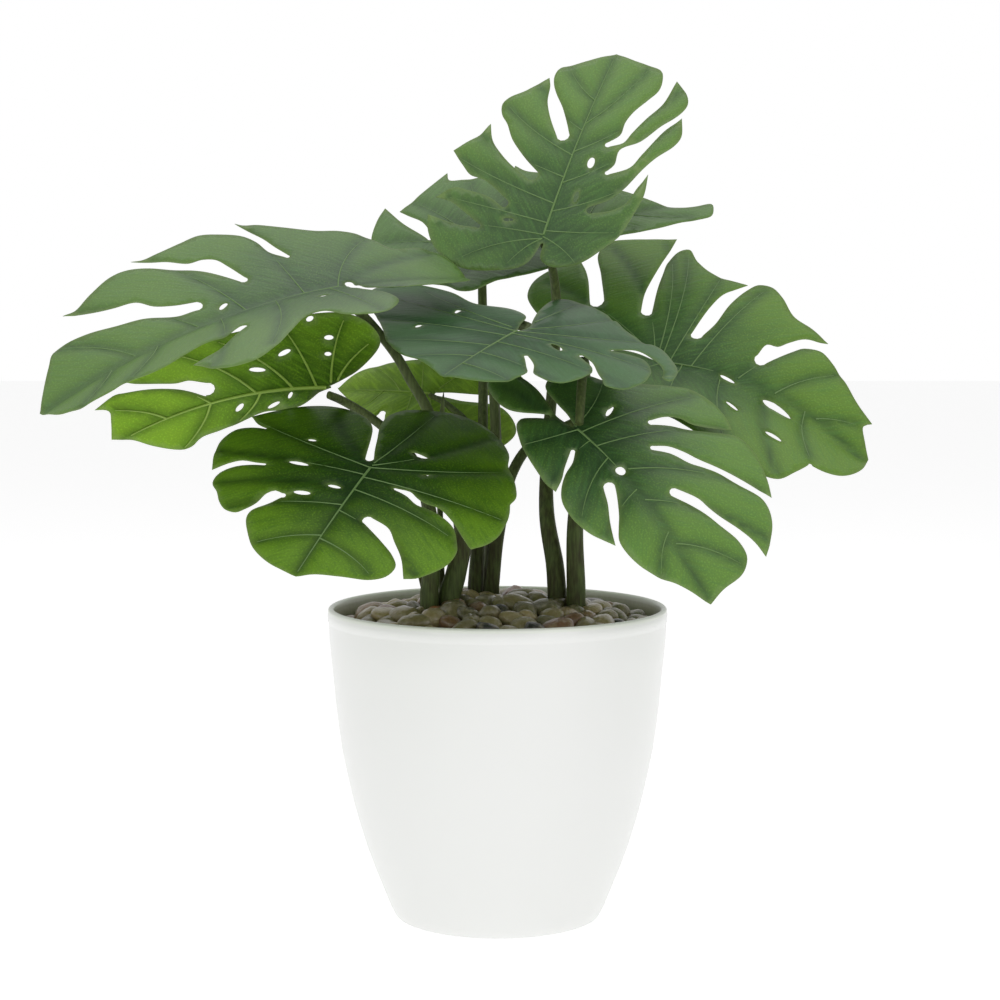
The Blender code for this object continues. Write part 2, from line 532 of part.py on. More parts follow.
def add_soil(finish):
    """The soil filling the pot below the pebbles."""
    low = FLOOR_THICK + GAP
    heights = (11, 22, 44, 66, 87, 109, SOIL_TOP - 0.01)
    profile = [(0, low), (39.5, low)]
    profile += [(wall_inside(z) - GAP - (1 if z == 11 else 0) - 0.2, z) for z in heights]
    profile.append((0, SOIL_TOP))
    return add_turned("soil", profile, finish)


def pebble_bumps():
    """Middles, sizes and turns of the pebbles that shape the top of the layer."""
    chance = np.random.default_rng(PEBBLE_SEED)
    found = []
    while len(found) < PEBBLE_COUNT:
        x, y = chance.uniform(-66, 66, 2)
        size = chance.uniform(*PEBBLE_SIZE)
        if math.hypot(x, y) > 66:
            continue
        if all(math.hypot(x - p[0], y - p[1]) > 0.42 * (size + p[2]) for p in found) or len(found) > 70:
            found.append((x, y, size, chance.uniform(0.65, 0.95), chance.uniform(0, math.pi)))
    return found


def add_pebble_bed(finish):
    """The layer of loose pebbles, taken as one lumpy body with a hole around every stalk."""
    radius = wall_inside(BED_EDGE) - GAP - 0.3
    angles = np.linspace(0, 2 * math.pi, 72, endpoint=False)
    rings = [radius * np.stack([np.cos(angles), np.sin(angles)], 1)]
    around = np.linspace(0, 2 * math.pi, 12, endpoint=False)
    for knots in list(STALKS.values()) + [SPROUT]:
        x, y, _, thick = knots[-1]
        hole = (thick + BED_CLEAR) / math.cos(math.pi / 12)
        rings.append(np.stack([x + hole * np.cos(around), y + hole * np.sin(around)], 1))
    flat, faces = triangulated(rings, BED_CELL)
    bumps = pebble_bumps()

    def top(points):
        far = np.hypot(points[:, 0], points[:, 1]) / radius
        height = BED_EDGE + (BED_MIDDLE - BED_EDGE) * (1 - far**2)
        rise = np.zeros(len(points))
        for x, y, size, narrow, turn in bumps:
            dx, dy = points[:, 0] - x, points[:, 1] - y
            a = (dx * math.cos(turn) + dy * math.sin(turn)) / (size / 2)
            b = (dy * math.cos(turn) - dx * math.sin(turn)) / (size / 2 * narrow)
            rise = np.maximum(rise, PEBBLE_RISE * np.sqrt(np.clip(1 - a**2 - b**2, 0, 1)))
        return np.column_stack([points, height + rise * np.clip(4 - 4 * far, 0, 1)])

    def bottom(points):
        return np.column_stack([points, np.full(len(points), SOIL_TOP + GAP)])

    points, solid = sheet(flat, faces, top, bottom)
    return add_object("pebble_bed", points, solid, finish, smooth=False)


for existing in list(bpy.data.objects):
    bpy.data.objects.remove(existing, do_unlink=True)

add_pot(material("pot_glaze", WHITE_GLAZE, 0.28))
add_soil(material("soil", POTTING_SOIL, 0.95))
add_pebble_bed(material("pebbles", PEBBLE_TAN, 0.45))
for leaf_name, leaf_shape in LEAVES.items():
    shade = LEAF_LIGHT if leaf_name in LIT_LEAVES else LEAF_GREEN
    add_leaf(leaf_name, leaf_shape, material("leaf_" + leaf_name, shade, 0.5))
for stalk_name, stalk_knots in STALKS.items():
    add_stalk("stalk_" + stalk_name, stalk_knots, material("stalk_" + stalk_name, STALK_GREEN, 0.6))
add_stalk("sprout", SPROUT, material("sprout", LEAF_GREEN, 0.5))
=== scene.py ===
"""Looks for a young split-leaf plant in a round white pot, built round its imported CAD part.

Tables are in millimetres in the frame of the part: +Z is up, the pot stands on the floor at the
origin, and the plant is composed to be seen along +Y.
"""

import math

import bpy
import numpy as np
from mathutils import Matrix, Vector
from mathutils.geometry import delaunay_2d_cdt


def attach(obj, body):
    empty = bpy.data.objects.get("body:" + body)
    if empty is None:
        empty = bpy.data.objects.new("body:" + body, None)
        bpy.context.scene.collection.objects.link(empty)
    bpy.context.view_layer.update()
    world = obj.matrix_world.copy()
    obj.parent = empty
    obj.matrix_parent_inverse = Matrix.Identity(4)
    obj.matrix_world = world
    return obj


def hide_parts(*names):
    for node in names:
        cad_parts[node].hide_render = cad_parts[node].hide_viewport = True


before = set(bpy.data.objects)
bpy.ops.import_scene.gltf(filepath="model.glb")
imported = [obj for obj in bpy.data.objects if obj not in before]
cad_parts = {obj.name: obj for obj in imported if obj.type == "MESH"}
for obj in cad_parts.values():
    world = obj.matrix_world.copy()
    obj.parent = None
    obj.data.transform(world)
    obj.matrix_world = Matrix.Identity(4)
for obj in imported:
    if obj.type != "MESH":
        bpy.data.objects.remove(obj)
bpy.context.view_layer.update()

# ---------------------------------------------------------------------------------------------
# The pot: thin glazed earthenware, slip-cast in one piece, with a rolled lip and a fine raised
# line under it. Its section is swept once round the axis.
# ---------------------------------------------------------------------------------------------
MM = 0.001
POT_TURNS = 128
POT_OUTER = [  # radius, height: the outside from the foot up to the rim band
    (0, 0), (44, 0), (45.2, 0.5), (46.2, 1.8), (47.8, 5), (50.2, 11), (54.6, 22), (58.6, 33), (61.9, 44),
    (64.8, 55), (67.2, 66), (69.2, 76), (70.7, 87), (72, 98), (72.9, 109), (73.8, 117), (74.5, 125),
    (74.8, 131.6),
]
RIM_BAND = [(74.9, 132.6), (75.2, 133.1), (75.2, 136), (75, 136.6)]
RIM_TOP = 138.6
RIM_OUTER = 75.0
RIM_INNER = 72.3
POT_INSIDE = [(72, 136), (71.8, 131), (71.4, 124), (70.1, 109), (67.9, 87), (64.3, 66), (59, 44),
              (51.5, 22), (46, 11), (40, 4), (0, 4)]
GLAZE_WHITE = (0.86, 0.865, 0.85)
LIP_CREAM = (0.80, 0.82, 0.76)
# Painted shade and the plant's reflected green on the pot's inside wall.
INSIDE_PAINTED_SHADE = (0.36, 0.38, 0.25)


class Shade:
    """A value, colour or vector in a finish, worked out with ordinary arithmetic."""

    def __init__(self, finish, socket):
        self.finish = finish
        self.socket = socket

    def __add__(self, other):
        return self.finish.math("ADD", self, other)

    def __radd__(self, other):
        return self.finish.math("ADD", other, self)

    def __sub__(self, other):
        return self.finish.math("SUBTRACT", self, other)

    def __rsub__(self, other):
        return self.finish.math("SUBTRACT", other, self)

    def __mul__(self, other):
        return self.finish.math("MULTIPLY", self, other)

    def __rmul__(self, other):
        return self.finish.math("MULTIPLY", other, self)

    def __pow__(self, other):
        return self.finish.math("POWER", self, other)


class Finish:
    """One material: a Principled surface and the nodes that feed it."""

    def __init__(self, name, colour, roughness, **more):
        self.material = bpy.data.materials.new(name)
        self.material.use_nodes = True
        self.nodes = self.material.node_tree.nodes
        self.links = self.material.node_tree.links
        self.surface = self.nodes["Principled BSDF"]
        self.set("Base Color", (*colour, 1))
        self.set("Roughness", roughness)
        for key, value in more.items():
            self.set(key.replace("_", " "), value)

    def join(self, socket, value):
        if isinstance(value, Shade):
            self.links.new(value.socket, socket)
        else:
            socket.default_value = value

    def set(self, name, value):
        self.join(self.surface.inputs[name], value)

    def node(self, kind, settings, inputs, output=0):
        """Any node: its type, its settings, the values or links of its sockets, and its output."""
        made = self.nodes.new(kind)
        for key, value in settings.items():
            setattr(made, key, value)
        for key, value in inputs.items():
            self.join(made.inputs[key], value)
        return Shade(self, made.outputs[output])

    def math(self, operation, a, b):
        return self.node("ShaderNodeMath", {"operation": operation}, {0: a, 1: b})

    def mix(self, share, a, b):
        """Colour a turning into colour b."""
        a, b = (c if isinstance(c, Shade) else (*c, 1) for c in (a, b))
        return self.node("ShaderNodeMix", {"data_type": "RGBA"}, {0: share, 6: a, 7: b}, 2)

    def ramp(self, value, start, end):
        """0 below start, 1 above end and smooth between."""
        return self.node("ShaderNodeMapRange", {"interpolation_type": "SMOOTHSTEP"},
                         {"Value": value, "From Min": start, "From Max": end})

    def noise(self, where, scale, detail=3.0):
        return self.node("ShaderNodeTexNoise", {}, {"Vector": where, "Scale": scale, "Detail": detail})

    def place(self):
        """Where a point is on the finished object, in metres."""
        return self.node("ShaderNodeTexCoord", {}, {}, "Object")

    def stored(self, label, output="Fac"):
        """A value that the mesh holds at its points."""
        return self.node("ShaderNodeAttribute", {"attribute_name": label}, {}, output)

    def bump(self, height, distance, strength=1.0):
        self.set("Normal", self.node("ShaderNodeBump", {}, {
            "Height": height, "Distance": distance, "Strength": strength}))


def growing_tree(name, sockets):
    """An empty geometry tree with a shape in and out and these named inputs."""
    tree = bpy.data.node_groups.new(name, "GeometryNodeTree")
    face = tree.interface
    face.new_socket("Geometry", in_out="OUTPUT", socket_type="NodeSocketGeometry")
    face.new_socket("Geometry", in_out="INPUT", socket_type="NodeSocketGeometry")
    for label, kind in sockets:
        face.new_socket(label, in_out="INPUT", socket_type="NodeSocket" + kind)
    return tree, tree.nodes.new("NodeGroupInput").outputs


def place_node(tree, kind, settings, inputs):
    """One node, its settings, and for each socket a value, a link or the node that feeds it."""
    made = tree.nodes.new(kind)
    for key, value in settings.items():
        setattr(made, key, value)
    for key, value in inputs.items():
        if isinstance(value, bpy.types.Node):
            value = next(out for out in value.outputs if out.enabled)
        if isinstance(value, bpy.types.NodeSocket):
            tree.links.new(value, made.inputs[key])
        else:
            made.inputs[key].default_value = value
    return made


def finished_tree(tree, shape, finish):
    """Shades the shape smooth, realises and coats it, and makes it what the tree gives back."""
    smooth = place_node(tree, "GeometryNodeSetShadeSmooth", {}, {"Geometry": shape})
    real = place_node(tree, "GeometryNodeRealizeInstances", {}, {"Geometry": smooth})
    coated = place_node(tree, "GeometryNodeSetMaterial", {}, {"Geometry": real, "Material": finish})
    place_node(tree, "NodeGroupOutput", {}, {"Geometry": coated})
    return tree


def grow(name, source, tree, values):
    """Runs a geometry tree on an object's data and keeps the result as a plain mesh."""
    holder = bpy.data.objects.new(name + "_source", source)
    bpy.context.scene.collection.objects.link(holder)
    modifier = holder.modifiers.new("grow", "NODES")
    modifier.node_group = tree
    for item in tree.interface.items_tree:
        if item.in_out == "INPUT" and item.name in values:
            modifier[item.identifier] = values[item.name]
    graph = bpy.context.evaluated_depsgraph_get()
    mesh = bpy.data.meshes.new_from_object(holder.evaluated_get(graph))
    mesh.name = name
    holder.modifiers.remove(modifier)
    bpy.data.objects.remove(holder)
    made = bpy.data.objects.new(name, mesh)
    bpy.context.scene.collection.objects.link(made)
    return made


def section_mesh(points):
    """A bare line through the points of a section: radius along X, and height along -Y for the sweep."""
    mesh = bpy.data.meshes.new("section")
    around = [(MM * radius, -MM * height, 0) for radius, height in reversed(points)]
    mesh.from_pydata(around, [(i, i + 1) for i in range(len(points) - 1)], [])
    return mesh


def turning_tree():
    """Sweeps a section once round the Z axis and closes it on the axis."""
    tree, given = growing_tree("turned_pot", [("Turns", "Int"), ("Finish", "Material")])
    line = place_node(tree, "GeometryNodeMeshToCurve", {}, {"Mesh": given["Geometry"]})
    circle = place_node(tree, "GeometryNodeCurvePrimitiveCircle", {}, {
        "Resolution": given["Turns"], "Radius": 1.0})
    swung = place_node(tree, "GeometryNodeInputPosition", {}, {})
    swept = place_node(tree, "GeometryNodeCurveToMesh", {}, {"Curve": circle, "Profile Curve": line})
    # Where the sweep leaves a point, its turn is kept and its distance from the ring is the radius.
    parts = place_node(tree, "ShaderNodeSeparateXYZ", {}, {"Vector": swung})
    flat = place_node(tree, "ShaderNodeCombineXYZ", {}, {"X": parts.outputs["X"], "Y": parts.outputs["Y"]})
    away = place_node(tree, "ShaderNodeVectorMath", {"operation": "LENGTH"}, {0: flat})
    turn = place_node(tree, "ShaderNodeVectorMath", {"operation": "NORMALIZE"}, {0: flat})
    past = place_node(tree, "ShaderNodeMath", {"operation": "SUBTRACT"}, {0: away, 1: 1.0})
    radius = place_node(tree, "ShaderNodeMath", {"operation": "ABSOLUTE"}, {0: past})
    ring = place_node(tree, "ShaderNodeVectorMath", {"operation": "SCALE"}, {0: turn, "Scale": radius})
    height = place_node(tree, "ShaderNodeCombineXYZ", {}, {"Z": parts.outputs["Z"]})
    where = place_node(tree, "ShaderNodeVectorMath", {"operation": "ADD"}, {0: ring, 1: height})
    moved = place_node(tree, "GeometryNodeSetPosition", {}, {"Geometry": swept, "Position": where})
    closed = place_node(tree, "GeometryNodeMergeByDistance", {}, {"Geometry": moved, "Distance": 0.00002})
    return finished_tree(tree, closed, given["Finish"])


def curved_section():
    """The pot's section from the middle of the foot, over the lip and down to the inside floor."""
    lip = (RIM_OUTER - RIM_INNER) / 2
    around = [math.radians(a) for a in range(0, 181, 20)]
    rolled = [(RIM_INNER + lip + lip * math.cos(a), RIM_TOP - lip + lip * math.sin(a)) for a in around]
    return POT_OUTER + RIM_BAND + rolled + POT_INSIDE


def pot_finish():
    """White satin glaze, creamy on the lip, with painted grey-green shade and reflected plant green inside,
    above the pebbles.
    """
    glaze = Finish("pot_glaze", GLAZE_WHITE, 0.3, Coat_Weight=0.25, Coat_Roughness=0.12)
    where = glaze.place()
    height = glaze.node("ShaderNodeSeparateXYZ", {}, {"Vector": where}, "Z")
    level = glaze.node("ShaderNodeVectorMath", {"operation": "MULTIPLY"}, {0: where, 1: (1, 1, 0)})
    from_axis = glaze.node("ShaderNodeVectorMath", {"operation": "LENGTH"}, {0: level}, "Value")
    # Painted shade: the inside wall above the pebbles is coloured grey-green for its shade and the plant's
    # reflection.
    within = (1 - glaze.ramp(from_axis, 0.0717, 0.0724)) * glaze.ramp(height, 0.118, 0.124)
    on_lip = glaze.ramp(height, 0.1362, 0.1372)
    outside = glaze.mix(on_lip, GLAZE_WHITE, LIP_CREAM)
    glaze.set("Base Color", glaze.mix(within, outside, INSIDE_PAINTED_SHADE))
    return glaze


turned = turning_tree()
pot = grow("pot_body", section_mesh(curved_section()), turned, {
    "Turns": POT_TURNS, "Finish": pot_finish().material})
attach(pot, "root")
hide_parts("pot")

# ---------------------------------------------------------------------------------------------
# The soil: dark crumbly potting mix that fills the pot and heaps a little towards the stalks.
# It is turned like the pot, from a section that follows the pot's inside.
# ---------------------------------------------------------------------------------------------
SOIL_SECTION = [(0, 4.3), (39.6, 4.3), (45.4, 11), (51, 22.2), (58.4, 44), (63.7, 66), (67.4, 87),
                (69.6, 109), (70.8, 124), (70.8, 126.5), (60, 128), (40, 132.5), (20, 136.5), (0, 138)]

loam = Finish("potting_soil", (0.035, 0.026, 0.017), 0.95)
grain = loam.noise(loam.place(), 420.0)
loam.set("Base Color", loam.mix(grain, (0.016, 0.011, 0.007), (0.07, 0.05, 0.032)))
loam.bump(grain, 0.0015)
soil = grow("soil_fill", section_mesh(SOIL_SECTION), turned, {
    "Turns": POT_TURNS, "Finish": loam.material})
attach(soil, "root")
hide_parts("soil")

# ---------------------------------------------------------------------------------------------
# The pebbles: loose water-worn river stones, olive, tan and brown with a few black and red ones,
# poured over the soil. They are scattered over its heap, each with its own size, turn and tint.
# ---------------------------------------------------------------------------------------------
HEAP_RADIUS = 67.0
HEAP_MIDDLE = 141.0
HEAP_EDGE = 129.5
HEAP_RINGS = 16
HEAP_SIDES = 64
PEBBLE_APART = 0.0078  # metres, as the tree takes them
PEBBLE_SMALL = 0.0046
PEBBLE_LARGE = 0.0082
PEBBLE_WALL = 0.0713  # no stone reaches further from the axis
PEBBLE_SEED = 11


def heap_mesh(rings, sides):
    """The low mound that the pebbles lie on."""
    points = [(0, 0, MM * HEAP_MIDDLE)]
    for ring in range(1, rings + 1):
        far = ring / rings
        height = HEAP_EDGE + (HEAP_MIDDLE - HEAP_EDGE) * (1 - far**2)
        for k in range(sides):
            turn = 2 * math.pi * k / sides
            points.append((MM * HEAP_RADIUS * far * math.cos(turn), MM * HEAP_RADIUS * far * math.sin(turn),
                           MM * height))
    faces = [(0, 1 + k, 1 + (k + 1) % sides) for k in range(sides)]
    for ring in range(rings - 1):
        a = 1 + ring * sides
        for k in range(sides):
            n = (k + 1) % sides
            faces.append((a + k, a + sides + k, a + sides + n, a + n))
    mesh = bpy.data.meshes.new("heap")
    mesh.from_pydata(points, [], faces)
    return mesh


def pebble_tree():
    """Scatters rounded stones over a mound and tints each one."""
    tree, given = growing_tree("scattered_pebbles", [
        ("Apart", "Float"), ("Small", "Float"), ("Large", "Float"), ("Wall", "Float"),
        ("Seed", "Int"), ("Finish", "Material")])
    spread = place_node(tree, "GeometryNodeDistributePointsOnFaces", {"distribute_method": "POISSON"}, {
        "Mesh": given["Geometry"], "Distance Min": given["Apart"],
        "Density Max": 60000.0, "Seed": given["Seed"]})
    stone = place_node(tree, "GeometryNodeMeshIcoSphere", {}, {"Radius": 1.0, "Subdivisions": 2})
    size = place_node(tree, "FunctionNodeRandomValue", {"data_type": "FLOAT"}, {
        2: given["Small"], 3: given["Large"], "Seed": 3})
    shape = place_node(tree, "FunctionNodeRandomValue", {"data_type": "FLOAT_VECTOR"}, {
        0: (0.95, 0.72, 0.55), 1: (1.3, 1.0, 0.8), "Seed": 5})
    scaled = place_node(tree, "ShaderNodeVectorMath", {"operation": "SCALE"}, {0: shape, "Scale": size})
    turn = place_node(tree, "FunctionNodeRandomValue", {"data_type": "FLOAT_VECTOR"}, {
        0: (-0.5, -0.5, 0.0), 1: (0.5, 0.5, 2 * math.pi), "Seed": 8})
    laid = place_node(tree, "GeometryNodeInstanceOnPoints", {}, {
        "Points": spread, "Instance": stone, "Rotation": turn, "Scale": scaled})
    tint = place_node(tree, "FunctionNodeRandomValue", {"data_type": "FLOAT"}, {2: 0.0, 3: 1.0, "Seed": 13})
    tinted = place_node(
        tree, "GeometryNodeStoreNamedAttribute", {"data_type": "FLOAT", "domain": "INSTANCE"},
        {"Geometry": laid, "Name": "tint", "Value": tint})
    real = place_node(tree, "GeometryNodeRealizeInstances", {}, {"Geometry": tinted})
    rounder = place_node(tree, "GeometryNodeSubdivisionSurface", {}, {"Mesh": real, "Level": 1})
    where = place_node(tree, "GeometryNodeInputPosition", {}, {})
    worn = place_node(tree, "ShaderNodeTexNoise", {}, {"Vector": where, "Scale": 130.0, "Detail": 1.0})
    push = place_node(tree, "ShaderNodeVectorMath", {"operation": "SUBTRACT"}, {
        0: worn.outputs["Color"], 1: (0.5, 0.5, 0.5)})
    little = place_node(tree, "ShaderNodeVectorMath", {"operation": "SCALE"}, {0: push, "Scale": 0.0028})
    uneven = place_node(tree, "GeometryNodeSetPosition", {}, {"Geometry": rounder, "Offset": little})
    # A stone that would reach into the pot's wall is pressed flat against it.
    spot = place_node(tree, "GeometryNodeInputPosition", {}, {})
    level = place_node(tree, "ShaderNodeVectorMath", {"operation": "MULTIPLY"}, {0: spot, 1: (1, 1, 0)})
    away = place_node(tree, "ShaderNodeVectorMath", {"operation": "LENGTH"}, {0: level})
    past = place_node(tree, "ShaderNodeMath", {"operation": "SUBTRACT"}, {0: away, 1: given["Wall"]})
    over = place_node(tree, "ShaderNodeMath", {"operation": "MAXIMUM"}, {0: past, 1: 0.0})
    inward = place_node(tree, "ShaderNodeVectorMath", {"operation": "NORMALIZE"}, {0: level})
    back = place_node(tree, "ShaderNodeMath", {"operation": "MULTIPLY"}, {0: over, 1: -1.0})
    pressing = place_node(tree, "ShaderNodeVectorMath", {"operation": "SCALE"}, {0: inward, "Scale": back})
    pressed = place_node(tree, "GeometryNodeSetPosition", {}, {"Geometry": uneven, "Offset": pressing})
    return finished_tree(tree, pressed, given["Finish"])


# Stone colours from olive through tan and brown to black and red, each from one tint to another.
STONE_TINTS = [
    (0.0, 0.35, (0.20, 0.17, 0.075)), (0.35, 0.62, (0.33, 0.26, 0.12)), (0.62, 0.8, (0.17, 0.085, 0.04)),
    (0.86, 0.87, (0.02, 0.018, 0.016)), (0.94, 0.95, (0.30, 0.11, 0.035)),
]
river = Finish("river_pebble", (0.25, 0.2, 0.1), 0.3, Coat_Weight=0.5, Coat_Roughness=0.15)
tint = river.stored("tint")
stone_colour = (0.10, 0.09, 0.04)
for start, end, next_colour in STONE_TINTS:
    stone_colour = river.mix(river.ramp(tint, start, end), stone_colour, next_colour)
veined = river.noise(river.place(), 260.0)
river.set("Base Color", river.mix(river.ramp(veined, 0.45, 0.75) * 0.45, stone_colour, (0.40, 0.34, 0.22)))
river.bump(river.noise(river.place(), 900.0), 0.0004)
pebbles = grow("pebble_topping", heap_mesh(HEAP_RINGS, HEAP_SIDES), pebble_tree(), {
    "Apart": PEBBLE_APART, "Small": PEBBLE_SMALL, "Large": PEBBLE_LARGE, "Wall": PEBBLE_WALL,
    "Seed": PEBBLE_SEED, "Finish": river.material})
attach(pebbles, "root")
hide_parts("pebble_bed")

# ---------------------------------------------------------------------------------------------
# The stalks: fibrous leaf stalks that rise side by side out of the pebbles, thick and scarred at
# the foot and slim and green at the leaf. Each is swept along its path from a fluted round.
# ---------------------------------------------------------------------------------------------
STALK_STEP = 3.0
STALK_SIDES = 20
STALK_FLUTING = 0.07  # share of the radius
STALK_FLUTES = 3.0
FOOT_SWELL = 1.2  # the sheathed feet press against each other
SWELL_ENDS = (150, 210)  # full below the first height, gone above the second
STALK_FOOT = 133.0  # hidden among the pebbles
# Stalks from the leaf down to the pebbles: x, y, z, radius. From there each goes straight down.
STALKS = {
    "top": [
        (20.5, 28.4, 299.6, 1.7), (24.3, 30.5, 290, 1.9), (26.8, 40.5, 275, 2.2), (26.5, 39, 255, 2.3),
        (25, 28, 235, 2.5), (22.5, 14, 208, 2.7), (22, 3, 180, 3.1), (25.5, -2, 158, 3.4),
        (26.5, -4, 146, 3.5),
    ],
    "top_back": [
        (-7, 61.6, 293.6, 1.7), (-7, 60, 284, 2), (-6.6, 53, 262, 2.1), (-6.4, 40, 232, 2.2),
        (-6.6, 28, 212, 2.3), (-7.4, 21.5, 190, 2.4), (-8.6, 16, 165, 2.6), (-9.8, 14.6, 146, 2.8),
    ],
    "left": [
        (-68.2, -12.4, 276.6, 1.8), (-64, -8, 272, 2), (-56, -6, 264.5, 2.1), (-45, -6, 251, 2.1),
        (-38, -6, 239, 2.2), (-30, -8, 225, 2.4), (-21, -10, 199, 2.8), (-15, -10, 173, 3.4),
        (-17.5, -10, 156, 3.8), (-21, -10, 144, 4.1),
    ],
    "left_lower": [
        (-72.4, -23.4, 233.2, 1.7), (-67, -16, 230.4, 1.9), (-58, -9, 224.5, 2), (-50.5, -8, 219, 2),
        (-41, -9, 210, 2.2), (-33, -11, 196, 2.6), (-28, -13.5, 170, 3), (-29.6, -14.6, 146, 3.4),
    ],
    "left_front": [
        (-52.8, -58, 201.6, 1.7), (-49, -48, 197.5, 2), (-43, -31, 187, 2.2), (-37, -14, 170, 2.3),
        (-32, -5, 152, 2.4), (-30, -3.4, 142, 2.5),
    ],
    "centre": [
        (12.6, -8.5, 259.6, 2), (14, 0, 261.6, 2.3), (7, 9, 263.6, 2.4), (-2.5, 15, 265, 2.3),
        (-4.5, 22, 256, 2.2), (-1.5, 25, 232, 2.3), (-0.6, 25, 200, 2.5), (-2.6, 22, 165, 2.6),
        (-4.4, 20.6, 145, 2.6),
    ],
    "right": [
        (74.4, 28.2, 242.2, 1.8), (66, 30, 237, 2.1), (44, 29, 223, 2.2), (23, 24, 213, 2.2),
        (13, 18, 207, 2.2), (6, 13.5, 195.5, 2.3), (2.6, 12, 182, 2.4), (-0.6, 11.6, 165, 2.6),
        (-2.6, 11.4, 146, 2.7),
    ],
    "right_front": [
        (34.3, -47.6, 222, 1.8), (35, -42.5, 231, 2), (36, -34, 241, 2.1), (37, -22, 247.5, 2.2),
        (38, -11, 242, 2.3), (37.5, -6.5, 225, 2.5), (36.5, -7, 205, 2.8), (33.8, -9, 175, 3.2),
        (34.2, -9.5, 148, 3.5),
    ],
    "back": [
        (-31, 46, 230, 1.2), (-21.7, 38.5, 225, 1.4), (-12, 28.5, 214, 1.6), (-13.5, 21, 190, 1.8),
        (-17.5, 9, 158, 2), (-18.4, 3, 144, 2),
    ],
}
SPROUT = [(-23.6, -5, 233.5, 0.15), (-24, -5, 228, 0.9), (-24.6, -4, 219, 1.2), (-25.4, -1.5, 190, 1.3),
          (-25, 3, 160, 1.4), (-24.6, 5, 142, 1.4), (-24.6, 5, 126.3, 1.4)]
SPROUT_SIDES = 12


def smooth_path(knots, step):
    """Points along a flowing curve through the knots, which may carry more than a place."""
    knots = np.array(knots, float)
    padded = np.concatenate([[2 * knots[0] - knots[1]], knots, [2 * knots[-1] - knots[-2]]])
    found = []
    for a, b, c, d in zip(padded, padded[1:], padded[2:], padded[3:]):
        count = max(1, int(round(np.linalg.norm((c - b)[:3]) / step)))
        for t in np.arange(count) / count:
            found.append(0.5 * (2 * b + (c - a) * t + (2 * a - 5 * b + 4 * c - d) * t**2
                                + (3 * b - a - 3 * c + d) * t**3))
    found.append(knots[-1])
    return np.array(found)


def path_curve(name, paths):
    """Curves through paths of x, y, z and radius in millimetres."""
    curve = bpy.data.curves.new(name, "CURVE")
    curve.dimensions = "3D"
    for path in paths:
        line = curve.splines.new("POLY")
        line.points.add(len(path) - 1)
        for point, (x, y, z, radius) in zip(line.points, path):
            point.co = (MM * x, MM * y, MM * z, 1)
            point.radius = MM * radius
    return curve


def stalk_tree():
    """Sweeps a fluted round along curves, closes its ends and keeps how far along each point is."""
    tree, given = growing_tree("grown_stalk", [
        ("Sides", "Int"), ("Fluting", "Float"), ("Flutes", "Float"), ("Finish", "Material")])
    share = place_node(tree, "GeometryNodeSplineParameter", {}, {})
    marked = place_node(
        tree, "GeometryNodeStoreNamedAttribute", {"data_type": "FLOAT", "domain": "POINT"},
        {"Geometry": given["Geometry"], "Name": "along", "Value": share})
    radius = place_node(tree, "GeometryNodeInputRadius", {}, {})
    ring = place_node(tree, "GeometryNodeCurvePrimitiveCircle", {}, {
        "Resolution": given["Sides"], "Radius": 1.0})
    # The round is pressed in along its flutes.
    around = place_node(tree, "GeometryNodeSplineParameter", {}, {})
    turn = place_node(tree, "ShaderNodeMath", {"operation": "MULTIPLY"}, {0: around, 1: given["Flutes"]})
    full = place_node(tree, "ShaderNodeMath", {"operation": "MULTIPLY"}, {0: turn, 1: 2 * math.pi})
    wave = place_node(tree, "ShaderNodeMath", {"operation": "COSINE"}, {0: full})
    depth = place_node(tree, "ShaderNodeMath", {"operation": "MULTIPLY"}, {0: wave, 1: given["Fluting"]})
    grown = place_node(tree, "ShaderNodeMath", {"operation": "ADD"}, {0: depth, 1: 1.0})
    where = place_node(tree, "GeometryNodeInputPosition", {}, {})
    fluted = place_node(tree, "ShaderNodeVectorMath", {"operation": "SCALE"}, {0: where, "Scale": grown})
    section = place_node(tree, "GeometryNodeSetPosition", {}, {"Geometry": ring, "Position": fluted})
    swept = place_node(tree, "GeometryNodeCurveToMesh", {}, {
        "Curve": marked, "Profile Curve": section, "Scale": radius, "Fill Caps": True})
    return finished_tree(tree, swept, given["Finish"])


def lighter(colour, times):
    """The colour with each of its three values raised this many times."""
    return tuple(times * c for c in colour)


def stalk_finish(name, green, brown):
    """Fibrous stalk skin: brown and streaked at the foot, greener towards the leaf."""
    skin = Finish(name, green, 0.6, Specular_IOR_Level=0.25)
    along = skin.stored("along")
    stretched = skin.node("ShaderNodeMapping", {}, {"Vector": skin.place(), "Scale": (1.0, 1.0, 0.12)})
    fibre = skin.noise(stretched, 900.0, 4.0)
    blotch = skin.noise(skin.place(), 90.0, 2.0)
    foot = skin.mix(skin.ramp(blotch, 0.42, 0.62), brown, green)
    base = skin.mix(skin.ramp(along, 0.35, 0.85) * 0.75, green, foot)
    skin.set("Base Color", skin.mix(skin.ramp(fibre, 0.35, 0.7) * 0.5, base, lighter(green, 2.1)))
    skin.bump(fibre, 0.0006, 0.8)
    return skin


